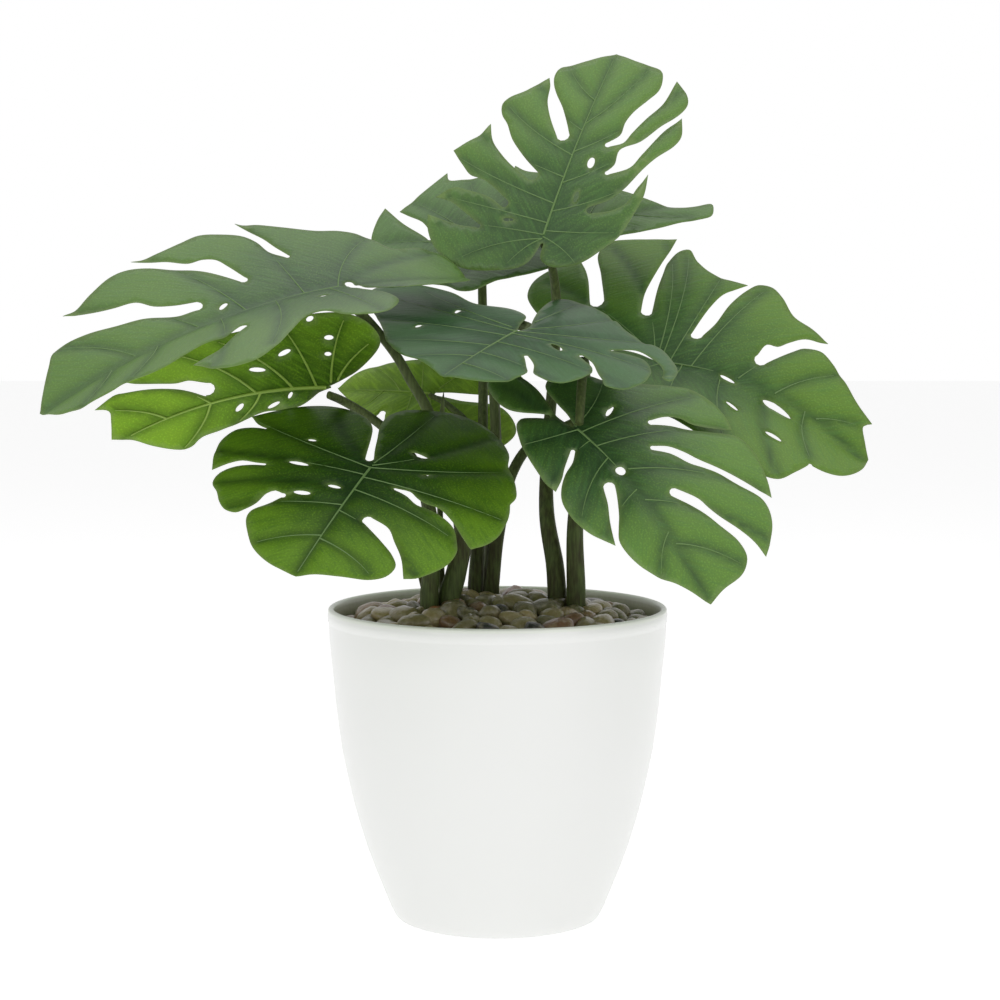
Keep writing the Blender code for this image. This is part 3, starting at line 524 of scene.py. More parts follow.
stalk_skin = stalk_finish("stalk_skin", (0.062, 0.085, 0.024), (0.045, 0.036, 0.014))
stalk_shape = stalk_tree()
for name, knots in STALKS.items():
    foot_x, foot_y, _, foot_radius = knots[-1]
    path = np.vstack([smooth_path(knots, STALK_STEP), (foot_x, foot_y, STALK_FOOT, foot_radius)])
    path[:, 3] *= np.interp(path[:, 2], SWELL_ENDS, (FOOT_SWELL, 1.0))
    stalk = grow("grown_stalk_" + name, path_curve("stalk_path", [path]), stalk_shape, {
        "Sides": STALK_SIDES, "Fluting": STALK_FLUTING, "Flutes": STALK_FLUTES,
        "Finish": stalk_skin.material})
    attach(stalk, "root")
    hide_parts("stalk_" + name)
sprout_curve = path_curve("sprout_path", [smooth_path(SPROUT, STALK_STEP)])
sprout = grow("young_sprout", sprout_curve, stalk_shape, {
    "Sides": SPROUT_SIDES, "Fluting": 0.0, "Flutes": 1.0, "Finish": stalk_skin.material})
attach(sprout, "root")
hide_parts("sprout")

# ---------------------------------------------------------------------------------------------
# The leaves: broad waxy blades, split between the side veins and holed near the midrib, with painted
# shade along the veins and a painted highlight at the pale edge. Each is a thin sheet over its own bent and
# folded surface.
# ---------------------------------------------------------------------------------------------
BLADE_THICK = 0.55
BLADE_CELL = 3.4  # between mesh points inside the blade
RIM_STEP = 1.6  # and along its edge
QUILT_DEPTH = 0.9  # how far the blade sinks along its veins
QUILT_WIDTH = 3.4
MIDRIB_THICK = (0.6, 0.2)  # radius where a vein starts and where it ends
SIDE_VEIN_THICK = (0.36, 0.14)
MIDRIB_POINTS = 28
SIDE_VEIN_POINTS = 18
SIDE_VEIN_SWING = np.array([0.32, 0.58])  # a side vein leaves sideways and bends to the tip
VEIN_MARGIN = 0.9  # a vein ends this far inside the blade's edge
UNDERSIDE_STOUT = 1.7  # veins stand out more underneath
VEIN_SIDES = 6
RIB_SHADE = 2.6  # how far the painted shade beside a vein, the painted highlight at the edge and the painted shade of the heart reach
EDGE_SHADE = 0.8
HEART_SHADE = 30
OUTER_REACH = 90  # how far out a blade is at its brightest in painted light
STREAK_WAY = np.array([0.72, 0.69])
# Painted highlight along the blade's edge.
EDGE_HIGHLIGHT_GREEN = (0.20, 0.30, 0.08)
LIT_LEAVES = ("left_lower", "back")  # paler, with light coming through them

# Each leaf is drawn flat in its own plane: the first number runs from the stalk to the tip, the
# second to the right. A third number marks a sharp point when 0, else the radius of the rounded
# inner end of a cleft. Holes are ovals: centre, length, width, turn in degrees. Veins leave the
# midrib at the first number and end at the other two; bow is how far the midrib swings sideways.
# base, tip and face place the sheet; droop bends it along its length, fold lifts both halves
# like a shallow V, and curl rolls each half down, in degrees per millimetre. Gloss is less on
# the blades that hang in the shade of others.
# Greens run from a blade's painted shade through its own green to its painted light; blades in the shade of
# others are painted darker greens, and the two lit through from behind paler ones.
LEAVES = {
    "top": {
        "base": (20.5, 26, 303), "tip": (58.3, 80, 393.5), "face": (-0.15, -0.8, 0.58),
        "droop": 20, "fold": 4, "curl": (0.3, 0.3),
        "outline": [
            (104, 0, 0), (101, 10), (98, 24), (93, 26.5), (86, 27), (79, 24), (71, 20), (64, 18),
            (57, 18), (50.5, 14.5, 1.5), (53, 21), (59, 23), (69, 26.5), (79.5, 31), (94, 33, 0),
            (89, 39), (83, 42), (77, 41), (67, 34.5), (56, 28), (49, 20.5), (41, 20.5), (36, 19, 1.2),
            (41, 28), (49, 31), (65, 36.5), (74, 42, 0), (64, 45), (58, 43.5), (49, 37.5), (40, 33),
            (30, 28.5), (23, 24), (16, 17.5, 2), (17.5, 26), (23, 32), (32.5, 34.5), (40, 37, 0),
            (29, 38.5), (19, 37), (7, 34), (-2, 28), (-8.5, 22.5), (-13, 15), (-14.5, 8), (-12, 2.5),
            (-5, 0.8, 0.8), (-12, -1.5), (-17, -5), (-21, -14.5), (-23.5, -28), (-22, -38),
            (-16.5, -48), (-8, -55), (0, -58, 0), (-2, -47), (-3, -40), (-2, -31, 1), (4, -41),
            (8, -49), (9, -57, 0), (15, -50), (14.5, -42), (12.5, -30), (11, -22.5, 2), (21, -36),
            (22.5, -43.5), (27, -49), (34.5, -57, 0), (38.5, -53), (44.5, -47), (51, -43.5, 0),
            (42.5, -39.5), (36, -33), (31, -26.5), (27.5, -14.5, 3), (37, -22.5), (44, -30),
            (52, -35.5), (57, -40), (63, -42), (67, -40), (72, -33.5), (78.5, -28), (81.5, -25, 0),
            (77, -23), (69, -21.5), (59, -16.5), (51, -7.5, 3), (57, -7.5), (66, -13), (73, -18.5),
            (78, -21.5), (83, -23), (88.5, -22), (93.5, -14), (99.5, -6),
        ],
        "holes": [
            (39.5, 10, 5.5, 3.2, 0), (21, 9, 5.5, 2.2, 0), (3.5, -18, 5, 1.8, 80),
        ],
        "reach": 102, "bow": 0, "gloss": 0.5,
        "greens": ((0.022, 0.07, 0.014), (0.045, 0.12, 0.022), (0.12, 0.24, 0.035)),
        "veins": [
            (60, 97, 18), (44, 90, 37), (27, 70, 40), (12, 36, 34), (2, 8, 31), (-1, -10, 18),
            (74, 90, -18), (56, 76, -27), (42, 62, -38), (30, 44, -46), (16, 31, -52), (6, 10, -50),
            (0, -3, -50), (-2, -18, -34), (-2, -17, -12),
        ],
    },
    "top_back": {
        "base": (-7, 60, 297), "tip": (98, 72, 320), "face": (0, -0.55, 0.83),
        "droop": 10, "fold": 5, "curl": (0.1, 0.2),
        "outline": [
            (108.5, 5), (108, 10.5), (105, 16), (97, 17), (91, 17), (80, 18.5), (69, 18.5), (60, 18.5),
            (45, 24), (30, 30), (16, 31), (1.5, 29), (-11, 31), (-17, 28), (-21, 22), (-28, 16),
            (-38, 8), (-46, -10), (-48, -30), (-42, -46), (-36.5, -54, 0), (-30.5, -36), (-24, -23),
            (-21, -20, 1.5), (-22, -33), (-27, -41), (-30.5, -47, 0), (-18, -56), (-2.7, -67, 0),
            (-3, -60), (4.5, -57), (17, -54), (26, -52), (29, -57, 0), (33, -50), (45, -42), (58, -30),
            (66, -22), (73, -16), (85, -3.5), (95, 4), (101, 5),
        ],
        "holes": [
            (8, -15, 5, 2.4, 60),
        ],
        "reach": 100, "bow": 0, "gloss": 0.4,
        "greens": ((0.03, 0.08, 0.02), (0.06, 0.14, 0.03), (0.11, 0.22, 0.05)),
        "veins": [
            (70, 96, 13), (44, 70, 14), (20, 34, 24), (4, 6, 26), (-2, -16, 20), (50, 66, -20),
            (30, 42, -40), (14, 26, -48), (4, 6, -54), (0, -22, -50), (-3, -42, -28),
        ],
    },
    "left": {
        "base": (-69, -14, 280), "tip": (-189, -68, 227), "face": (-0.2, -0.5, 0.85),
        "droop": 28, "fold": 14, "curl": (0.1, 0.1),
        "outline": [
            (143, 1, 0), (128, 20), (121, 27.5), (107, 26), (94, 21.5), (80.5, 17.5), (69, 11),
            (61.5, 12.5, 3), (68.5, 18), (76, 23), (81, 30), (89.5, 33.5), (99, 38), (109, 44, 0),
            (102, 44), (94, 48), (82, 53), (74, 52.5), (59.5, 43), (48, 32.5), (36, 19, 2), (37.5, 31),
            (40, 38), (45, 41), (51, 41.5), (59, 49.5), (70.5, 57.5, 0), (60, 56), (48, 57.5), (38, 59),
            (30, 55.5), (22, 50), (18, 44), (16.5, 35), (11, 27.5, 1.1), (12.5, 36), (14.5, 46),
            (20, 61.5, 0), (13, 57), (2, 50), (-10, 43.5), (-21, 41), (-31, 35), (-38, 24), (-54, 24),
            (-62, 18), (-65, 8), (-62, -8), (-50, -17), (-38, -21), (-22, -21), (-10, -12), (-6, 1, 2),
            (-4, -14), (-8, -27), (-6, -44), (2, -54), (10, -57), (20, -50), (25, -37), (32, -37),
            (45, -49), (56, -59), (68, -65), (79, -60), (86, -43, 0), (76, -40), (66, -33),
            (56, -24, 2), (66, -26), (74, -25.5), (85, -28), (94, -30), (103, -28), (109, -23),
            (115, -24.5), (122, -23.5), (129, -21), (137, -15.5), (141, -5),
        ],
        "holes": [
            (51.5, 6.5, 5.5, 2.2, -30), (14, -14, 3, 1.6, 0),
        ],
        "reach": 140, "bow": 0, "gloss": 0.5,
        "greens": ((0.02, 0.06, 0.018), (0.045, 0.11, 0.03), (0.11, 0.22, 0.035)),
        "veins": [
            (96, 120, 28), (66, 104, 42), (44, 66, 57), (16, 17, 60), (0, -30, 34), (-2, -56, 20),
            (108, 130, -20), (86, 108, -22), (56, 80, -52), (30, 56, -54), (4, 6, -52), (0, -22, -17),
            (-2, -54, -4),
        ],
    },
    "left_lower": {
        "base": (-74, -20, 237), "tip": (-167, -30, 213), "face": (-0.22, 0.84, 0.5),
        "droop": 15, "fold": 4, "curl": (0.2, 0.2),
        "outline": [
            (95, -1, 0), (93, -9), (92.5, -15), (98, -17.5, 0), (88, -21.5), (84, -21), (76, -20),
            (69.5, -18.5), (61.5, -15.5), (56.5, -12.5), (51, -8.5), (49.5, -11.5, 3), (51.5, -15.5),
            (56.5, -18), (61.5, -18.5), (69, -21), (80, -25), (84, -27, 0), (75, -36), (62, -38),
            (48, -37), (30, -36), (15, -37), (-5, -37), (-17, -34), (-25, -26), (-27, -17), (-15, -5),
            (-6, -1.5), (-1.5, 0.5, 0.6), (3.5, 2.5), (7, 5), (13, 8), (22, 8), (28.5, 7), (40, 9),
            (49, 11), (58, 12), (63, 15), (69.5, 14.5), (79, 9), (88, 1.5),
        ],
        "holes": [
            (38.5, 1.5, 5, 2.2, 40), (27, -15, 7, 2.4, -15), (14, -20.5, 6, 2.4, 20),
            (-6, -24, 4, 2.4, 0), (-4, -16, 3, 2, 0), (0, -35, 3.5, 2.5, 30), (16, 1, 4, 1.6, 60),
            (24, 4.5, 6, 2, 20),
        ],
        "reach": 90, "bow": -5, "gloss": 0.12,
        "greens": ((0.025, 0.07, 0.005), (0.085, 0.19, 0.01), (0.2, 0.37, 0.02)),
        "veins": [
            (50, 66, 14), (28, 42, 9), (70, 90, -15), (50, 78, -24), (30, 62, -35), (14, 40, -34),
            (4, 12, -34), (-2, -14, -32), (-4, -22, -18),
        ],
    },
    "centre": {
        "base": (8, -18, 261), "tip": (-22, -75, 244), "face": (0, -0.33, 0.94),
        "droop": 4, "fold": 3, "curl": (0.05, 0.05),
        "outline": [
            (67, 1.5, 0), (68.5, -12), (67, -23), (60, -28.5), (52, -30.5), (42, -25.5), (33, -21, 0.9),
            (41, -28.5), (50, -33), (54, -39.5), (57, -48), (49.5, -53), (42, -54), (34, -52),
            (28, -46), (22.5, -41.5, 0.9), (28, -49), (36, -55), (44, -61), (51, -65.5), (52, -70),
            (49, -74.5), (41, -77.5), (31.5, -76.5), (22, -73), (13, -64.5), (9, -50, 0.9), (4, -58),
            (12, -70), (21, -78), (31.5, -82.5), (33, -86), (21, -84.5), (5, -74), (-4.5, -65.5),
            (-12, -53), (-22, -42), (-35, -31.5), (-54.5, -11), (-62, 3), (-60, 7), (-55, 8.5),
            (-35, 5.5), (-20, 1.5), (-8, -2), (-3, 0, 0.8), (-9, 2.5), (-21, 5.5), (-26, 12), (-27, 18),
            (-24, 32), (-35, 51), (-37, 72), (-30, 80), (-12, 80), (8, 68), (22, 56), (35, 46),
            (46, 38), (56.5, 25), (57.5, 17.5),
        ],
        "holes": [
            (21, 36.5, 5, 2, 0), (-9, 33, 5, 2, 0), (16, -27, 11, 3, -47),
        ],
        "reach": 66, "bow": 0, "gloss": 0.3,
        "greens": ((0.018, 0.055, 0.02), (0.035, 0.095, 0.035), (0.06, 0.15, 0.045)),
        "veins": [
            (40, 53, 20), (24, 42, 38), (8, 20, 54), (0, -14, 74), (-3, -30, 60), (50, 62, -27),
            (34, 54, -42), (18, 48, -72), (4, 26, -80), (0, -10, -56), (-3, -38, -28), (-3, -56, -2),
        ],
    },
    "right": {
        "base": (75, 26, 246), "tip": (162, -12, 203), "face": (0.1, -0.62, 0.78),
        "droop": 15, "fold": 18, "curl": (0.3, 0.3),
        "outline": [
            (103.5, -1.5, 0), (98.5, -7), (93, -15), (95.5, -18, 0), (85, -23.5), (74.5, -31),
            (65, -37), (57, -40.5), (50, -38.5), (47, -34), (44, -28.5), (37.5, -21.5, 3),
            (35.5, -30.5), (40, -32), (43, -37), (48, -43.5), (57.5, -47, 0), (47.5, -51), (37, -53.5),
            (26, -63), (18, -67.5), (13, -65.5), (10.5, -58), (9, -45), (9.5, -30), (5.5, -20.5, 2.8),
            (2, -39), (3, -50), (6, -56), (9, -62, 0), (-1, -61), (-10.5, -62), (-19.5, -67),
            (-28.5, -75), (-32, -70), (-31.5, -60), (-28.5, -50), (-25.5, -40), (-22.5, -24, 2.6),
            (-29.5, -35), (-31, -44), (-33.5, -58), (-38.5, -81.5, 0), (-50, -75), (-58, -71),
            (-65, -66), (-65, -54), (-55, -39), (-47.5, -22, 3.4), (-59, -34), (-66, -42), (-72, -46),
            (-80, -36), (-84, -26), (-82, -16), (-75, -9), (-66, -4), (-50, -2), (-30, -1), (-10, -1),
            (-4, 0, 1), (-10, 1), (-20, 4), (-24, 14), (-18, 25), (-4, 34), (12, 40), (30, 44),
            (48, 47), (62, 50), (74, 51), (81, 48), (84.5, 38), (87, 28, 0.8), (94, 27), (99.5, 23.5),
            (103, 17), (104.5, 8),
        ],
        "holes": [
            (30, -4.5, 8, 1.9, 10), (57, -1, 16, 3.4, 12), (42, 15, 8, 2, 25), (66, 22, 9, 2.4, 15),
        ],
        "reach": 100, "bow": -8, "gloss": 0.26,
        "greens": ((0.02, 0.065, 0.015), (0.045, 0.12, 0.025), (0.13, 0.25, 0.03)),
        "veins": [
            (74, 90, -14), (52, 70, -33), (34, 54, -44), (12, 17, -64), (2, -4, -59), (-2, -26, -70),
            (-4, -40, -76), (-5, -62, -62), (-6, -78, -28), (68, 84, 22), (48, 78, 44), (26, 56, 46),
            (8, 24, 42), (0, -10, 30),
        ],
    },
    "right_front": {
        "base": (34, -45, 220), "tip": (87, -95, 151), "face": (0.08, -0.78, 0.62),
        "droop": 20, "fold": 0, "curl": (0.3, 0.8),
        "outline": [
            (100, 0, 0), (97, -8), (95, -18.5), (92, -23.5), (88, -26.5), (80.5, -27), (71, -24),
            (62.5, -21.5), (56.5, -18.5), (49, -16, 2.2), (56, -23.5), (61, -25), (68, -27.5),
            (76, -31), (84, -33.5), (92, -34, 0), (87, -40), (79, -47), (72, -50), (66, -50), (57, -45),
            (48, -40), (43, -35.5), (38.5, -31), (31, -26.5), (25, -21.5, 1.3), (27, -28),
            (32.5, -32.5), (38.5, -36), (45, -41), (52, -46), (60, -51), (68, -55, 0), (61, -58.5),
            (52.5, -61.5), (43.5, -63.5), (36, -63), (31, -59.5), (27, -52), (21.5, -42.5), (17, -36.5),
            (12, -29.5, 1.4), (11.5, -37), (14.5, -42.5), (19.5, -46), (24.5, -54), (28.5, -62, 0),
            (22, -64), (14, -64.5), (6, -63), (0, -60), (-5, -52), (-10, -42), (-15, -33), (-22, -26),
            (-31, -18), (-34, -10), (-30, -3), (-18, -1), (-10, -1), (-4, 0.5, 1), (-12, 3), (-20, 2),
            (-32, 1), (-44, 3), (-51, 9), (-49, 15), (-38, 18), (-28.5, 17), (-22, 13), (-14, 6.5, 1.5),
            (-17, 12), (-20, 16), (-19, 19), (-13, 22), (-4, 24.5), (7, 26), (15, 26.5),
            (21.5, 25.5, 0), (18, 20), (14, 16), (9, 8.5, 1), (14, 12), (17, 17.5), (22, 23), (27, 26),
            (33, 27), (41, 26.5), (48.5, 24.5), (53, 22), (58, 19.5, 0), (53, 17.5), (46, 14.5),
            (40, 11.5), (33.5, 6.5, 2.5), (41.5, 7.5), (47, 10.5), (52, 14), (57, 17), (63, 17.5),
            (71.5, 16), (79, 12.5), (86, 7.5), (92, 4),
        ],
        "holes": [
            (28.5, -2.5, 4.6, 4.2, 0), (-2, -17.5, 6.5, 2, 60),
        ],
        "reach": 97, "bow": -3, "gloss": 0.45,
        "greens": ((0.014, 0.045, 0.012), (0.035, 0.1, 0.022), (0.12, 0.25, 0.03)),
        "veins": [
            (70, 90, -22), (46, 84, -40), (28, 62, -52), (12, 27, -58), (2, 4, -58), (-2, -20, -26),
            (64, 80, 11), (40, 52, 19), (20, 38, 23), (8, 16, 23), (0, -8, 22), (-2, -44, 10),
        ],
    },
    "left_front": {
        "base": (-53, -60, 205), "tip": (-79, -122, 168), "face": (0, -0.6, 0.8),
        "droop": 8, "fold": 3, "curl": (0.1, 0.1),
        "outline": [
            (79, -0.5, 0), (76, -7), (74, -17), (72, -28), (68, -34), (61, -35.5), (54.5, -31.5),
            (48, -24.5), (43, -18.5), (36.7, -13.7, 2.2), (39, -23.5), (46, -29), (54, -35),
            (66.5, -41, 0), (64, -45), (59, -50), (51.5, -54), (43, -54.5), (36, -52), (28.5, -47.5),
            (23.5, -40.5), (21, -34), (20, -28.5), (15.5, -22), (12, -16, 1), (11, -22), (15, -26.5),
            (17.5, -31), (18.5, -37.5), (25, -46), (32, -52.5), (38.5, -59, 0), (33.5, -63.5),
            (26.5, -66), (17.5, -66), (9.5, -65), (3, -63, 0), (-3, -63.5), (-10, -61), (-18.5, -56.5),
            (-24.5, -52.5), (-34, -49.5), (-45, -41.5), (-52, -33.5), (-57, -24.5), (-59, -14.5),
            (-58, -6), (-55, 1.5), (-50, 6.5), (-43.5, 9), (-34, 9), (-21, 5.5), (-12, 3),
            (-6.5, 3, 1.8), (-14, 6.5), (-22, 8.5), (-29.5, 11), (-35, 15), (-38.5, 21), (-40, 29.5),
            (-37.5, 38.5), (-32, 47), (-25, 54), (-16.5, 61.5, 0), (-12, 56), (-10, 52.5, 0.8),
            (-8, 56.5), (-4, 62.5), (5.5, 65), (17, 63.5), (29, 59, 0), (22, 54.5), (18, 50),
            (17.5, 44.5), (17.5, 40.5, 0.8), (20, 45.5), (23.5, 51), (30, 55), (37, 55), (42.5, 50.5),
            (48.5, 46.5), (52, 42), (52.5, 37.5), (49, 35), (42, 32.5), (36, 31), (33, 28.5),
            (34.6, 24.6, 1.3), (38, 26), (43.5, 29), (49, 32), (54, 32), (62, 28), (71, 21), (76, 13),
            (78, 6),
        ],
        "holes": [
            (10.3, 28, 8.5, 3.2, 85), (30, 18, 7, 2.6, 75), (19.7, 8, 5.6, 2.8, 90),
            (-17, -15.5, 7.5, 2, 95), (-2.4, -23.8, 2.6, 1.3, 60), (-8.6, 30, 3.6, 1.2, 85),
        ],
        "reach": 76, "bow": 0, "gloss": 0.14,
        "greens": ((0.006, 0.026, 0.003), (0.012, 0.048, 0.004), (0.12, 0.25, 0.012)),
        "veins": [
            (54, 68, -27), (34, 62, -44), (18, 38, -55), (8, 14, -63), (0, -20, -52), (-2, -44, -37),
            (-4, -54, -8), (52, 66, 22), (30, 49, 42), (16, 36, 52), (6, 14, 62), (0, -14, 57),
            (-2, -35, 30),
        ],
    },
    "back": {
        "base": (-31, 50, 231), "tip": (-76, 58, 232), "face": (-0.1, -0.75, 0.65),
        "droop": 10, "fold": 3, "curl": (0.2, 0.2),
        "outline": [
            (44, 1, 0), (35, 10), (23, 15), (11, 18), (-3, 22), (-19, 24), (-35, 20), (-44, 10),
            (-36, 4), (-3, 0, 0.9), (-14, -3), (-34, -4), (-42, -16), (-34, -28), (-20, -34), (-8, -30),
            (2, -26), (10, -30), (17, -24), (20, -14, 1.5), (26, -18), (34, -14), (38, -6),
        ],
        "holes": [
        ],
        "reach": 42, "bow": 0, "gloss": 0.2,
        "greens": ((0.13, 0.24, 0.02), (0.22, 0.38, 0.03), (0.32, 0.5, 0.06)),
        "veins": [
            (22, 33, -12), (8, 12, -24), (0, -8, -28), (-2, -30, -24), (14, 26, 12), (4, 6, 18),
            (-2, -24, 20),
        ],
    },
}


def unit(vector):
    """The same direction, one long."""
    vector = np.asarray(vector, float)
    return vector / np.linalg.norm(vector)


def cleft_end(before, centre, after, radius):
    """The rounded inner end of a cleft, from its first side round to its second."""
    centre, before, after = (np.array(p[:2], float) for p in (centre, before, after))
    mouth = (before + after) / 2 - centre
    side = np.sign(mouth[0] * (before - centre)[1] - mouth[1] * (before - centre)[0]) or 1
    start = math.atan2(mouth[1], mouth[0])
    turns = [start + side * math.radians(a) for a in (75, 110, 145, 180, 215, 250, 285)]
    return [centre + radius * np.array([math.cos(t), math.sin(t)]) for t in turns]


def flowing_outline(drawn):
    """The drawn outline as a close ring: smooth, but for its sharp points."""
    points = []
    sharp = []
    for i, point in enumerate(drawn):
        if len(point) == 3 and point[2] > 0:
            ends = cleft_end(drawn[i - 1], point, drawn[(i + 1) % len(drawn)], point[2])
            points += ends
            sharp += [False] * len(ends)
        else:
            points.append(np.array(point[:2], float))
            sharp.append(len(point) == 3)
    ring = []
    count = len(points)
    for i in range(count):
        b, c = points[i], points[(i + 1) % count]
        a = 2 * b - c if sharp[i] else points[i - 1]
        d = 2 * c - b if sharp[(i + 1) % count] else points[(i + 2) % count]
        ab, bc, cd = (max(np.linalg.norm(q - p) ** 0.5, 0.001) for p, q in ((a, b), (b, c), (c, d)))
        leave = (c - b) + bc * ((b - a) / ab - (c - a) / (ab + bc))
        arrive = (c - b) + bc * ((d - c) / cd - (d - b) / (bc + cd))
        steps = max(1, int(round(np.linalg.norm(c - b) / RIM_STEP)))
        for t in np.arange(steps) / steps:
            ring.append((2 * t**3 - 3 * t**2 + 1) * b + (t**3 - 2 * t**2 + t) * leave
                        + (3 * t**2 - 2 * t**3) * c + (t**3 - t**2) * arrive)
    return np.array(ring)


def oval(x, y, length, width, turn):
    """A hole's ring."""
    turn = math.radians(turn)
    angles = np.linspace(0, 2 * math.pi, 16, endpoint=False)
    a = np.cos(angles) * length / 2
    b = np.sin(angles) * width / 2
    c, s = math.cos(turn), math.sin(turn)
    return np.stack([x + a * c - b * s, y + a * s + b * c], 1)


def inside(rings, points):
    """True where a point lies within the outline and in none of its holes."""
    found = np.zeros(len(points), bool)
    x, y = points[:, 0], points[:, 1]
    for ring in rings:
        for (ax, ay), (bx, by) in zip(ring, np.roll(ring, -1, axis=0)):
            if ay != by:
                found ^= ((ay > y) != (by > y)) & (x < ax + (y - ay) * (bx - ax) / (by - ay))
    return found


def distance_to(lines, points):
    """How far each point is from the nearest stretch of these lines."""
    nearest = np.full(len(points), np.inf)
    for line in lines:
        for a, b in zip(line, line[1:]):
            along = b - a
            share = np.clip(((points - a) @ along) / max(along @ along, 1e-12), 0, 1)
            nearest = np.minimum(nearest, np.linalg.norm(points - a - share[:, None] * along, axis=1))
    return nearest


def triangulated(rings, cell):
    """Flat points and triangles filling the outline around its holes."""
    lowest, highest = rings[0].min(axis=0), rings[0].max(axis=0)
    grid = []
    for row, y in enumerate(np.arange(lowest[1] + cell / 2, highest[1], cell * 0.866)):
        for x in np.arange(lowest[0] + cell / 2 * (row % 2), highest[0], cell):
            grid.append((x, y))
    grid = np.array(grid)
    closed = [np.concatenate([ring, ring[:1]]) for ring in rings]
    grid = grid[inside(rings, grid)]
    grid = grid[distance_to(closed, grid) > cell * 0.4]
    points = np.concatenate(rings + [grid])
    edges = []
    start = 0
    for ring in rings:
        edges += [(start + i, start + (i + 1) % len(ring)) for i in range(len(ring))]
        start += len(ring)
    flat, _, faces, _, _, _ = delaunay_2d_cdt([Vector(p) for p in points], edges, [], 0, 1e-6)
    flat = np.array([tuple(p) for p in flat])
    # The flat drawing is seen from below the blade, so each face is turned to point out on top.
    faces = np.array([tuple(f)[::-1] for f in faces])
    return flat, faces[inside(rings, flat[faces].mean(axis=1))], closed


def vein_lines(leaf):
    """The midrib and then the side veins, as flat lines."""
    def midrib(u):
        share = np.clip(u / leaf["reach"], 0, 1)
        return leaf["bow"] * 4 * share * (1 - share)

    run = np.linspace(0, leaf["reach"], MIDRIB_POINTS)
    found = [np.stack([run, midrib(run)], 1)]
    t = np.linspace(0, 1, SIDE_VEIN_POINTS)[:, None]
    for start, end_u, end_v in leaf["veins"]:
        first = np.array([start, midrib(start)])
        last = np.array([end_u, end_v])
        bend = first + SIDE_VEIN_SWING * (last - first)
        found.append((1 - t) ** 2 * first + 2 * t * (1 - t) * bend + t**2 * last)
    return found


def blade_surface(leaf, quilt):
    """A function from flat leaf points and a height above the sheet to millimetres in space."""
    base, tip = np.array(leaf["base"], float), np.array(leaf["tip"], float)
    along = unit(tip - base)
    face = np.array(leaf["face"], float)
    face = unit(face - along * (along @ face))
    side = np.cross(along, face)
    droop = math.radians(leaf["droop"])
    length = np.linalg.norm(tip - base) * (droop / 2) / math.sin(droop / 2)
    fold = math.radians(leaf["fold"])
    curls = np.radians(leaf["curl"])

    def place(flat, height):
        u, v = flat[:, 0], flat[:, 1]
        angle = droop * (0.5 - u / length)
        run = (math.sin(droop / 2) - np.sin(angle)) * length / droop
        rise = (np.cos(angle) - math.cos(droop / 2)) * length / droop
        up = np.outer(np.cos(angle), face) - np.outer(np.sin(angle), along)
        curl = np.where(v < 0, curls[0], curls[1])
        roll = fold - curl * np.abs(v)
        out = np.sign(v) * (math.sin(fold) - np.sin(roll)) / curl
        lift = (np.cos(roll) - math.cos(fold)) / curl + height + quilt(flat)
        return base + np.outer(run, along) + np.outer(rise, face) + np.outer(out, side) + up * lift[:, None]

    return place


def leaf_finish(name, leaf):
    """Waxy leaf skin: painted shade at veins and heart, painted light lighter and yellower outwards, pale
    painted edge highlight.
    """
    shade_green, mid, lit_green = leaf["greens"]
    skin = Finish(name, mid, 0.42, Specular_IOR_Level=leaf["gloss"], Coat_Weight=0.36 * leaf["gloss"],
                  Coat_Roughness=0.35)
    vein_crease_shade, edge, shaded_heart, outer = (skin.stored(label) for label in ("vein_crease_shade", "edge", "shaded_heart", "outer"))
    flat = skin.node("ShaderNodeUVMap", {"uv_map": "blade"}, {}, 0)
    fine = skin.noise(skin.stored("streak", "Vector"), 1.0)
    cloud = skin.noise(flat, 5.0)
    # Painted light and tone: a random cloud and, as painted light, the outer part turn the blade lighter
    # and yellower.
    tone = skin.ramp(cloud * 0.6 + outer * 0.75, 0.3, 1.05)
    base = skin.mix(tone, mid, lit_green)
    # Painted shade darkens the creases along the veins and the heart by the stalk.
    base = skin.mix(vein_crease_shade * 0.75, base, shade_green)
    base = skin.mix(shaded_heart * 0.7, base, shade_green)
    base = skin.mix(skin.ramp(fine, 0.42, 0.72) * 0.35, base, lighter(mid, 1.9))
    # Pale cells speckle the blade, strongest where the outer part is painted lit, and left out of the
    # painted shade by the veins.
    cells = skin.ramp(skin.noise(flat, 120.0, 2.0), 0.5, 0.68) * (1 - vein_crease_shade) * (0.12 + 0.45 * outer)
    base = skin.mix(cells, base, lighter(lit_green, 1.5))
    # The pale edge is a painted highlight.
    skin.set("Base Color", skin.mix(edge ** 2.5 * 0.6, base, EDGE_HIGHLIGHT_GREEN))
    skin.bump(fine, 0.0004, 0.6)
    return skin


def sheet_mesh(name, upper, lower, faces):
    """A closed sheet: its upper face, its lower face turned over, and the rim between them."""
    count = len(upper)
    solid = faces + [(c + count, b + count, a + count) for a, b, c in faces]
    edges = {edge for a, b, c in faces for edge in ((a, b), (b, c), (c, a))}
    for a, b in edges:
        if (b, a) not in edges:
            solid += [(b, a, a + count), (b, a + count, b + count)]
    mesh = bpy.data.meshes.new(name)
    mesh.from_pydata((MM * np.concatenate([upper, lower])).tolist(), [], solid)
    mesh.polygons.foreach_set("use_smooth", [True] * len(mesh.polygons))
    return mesh


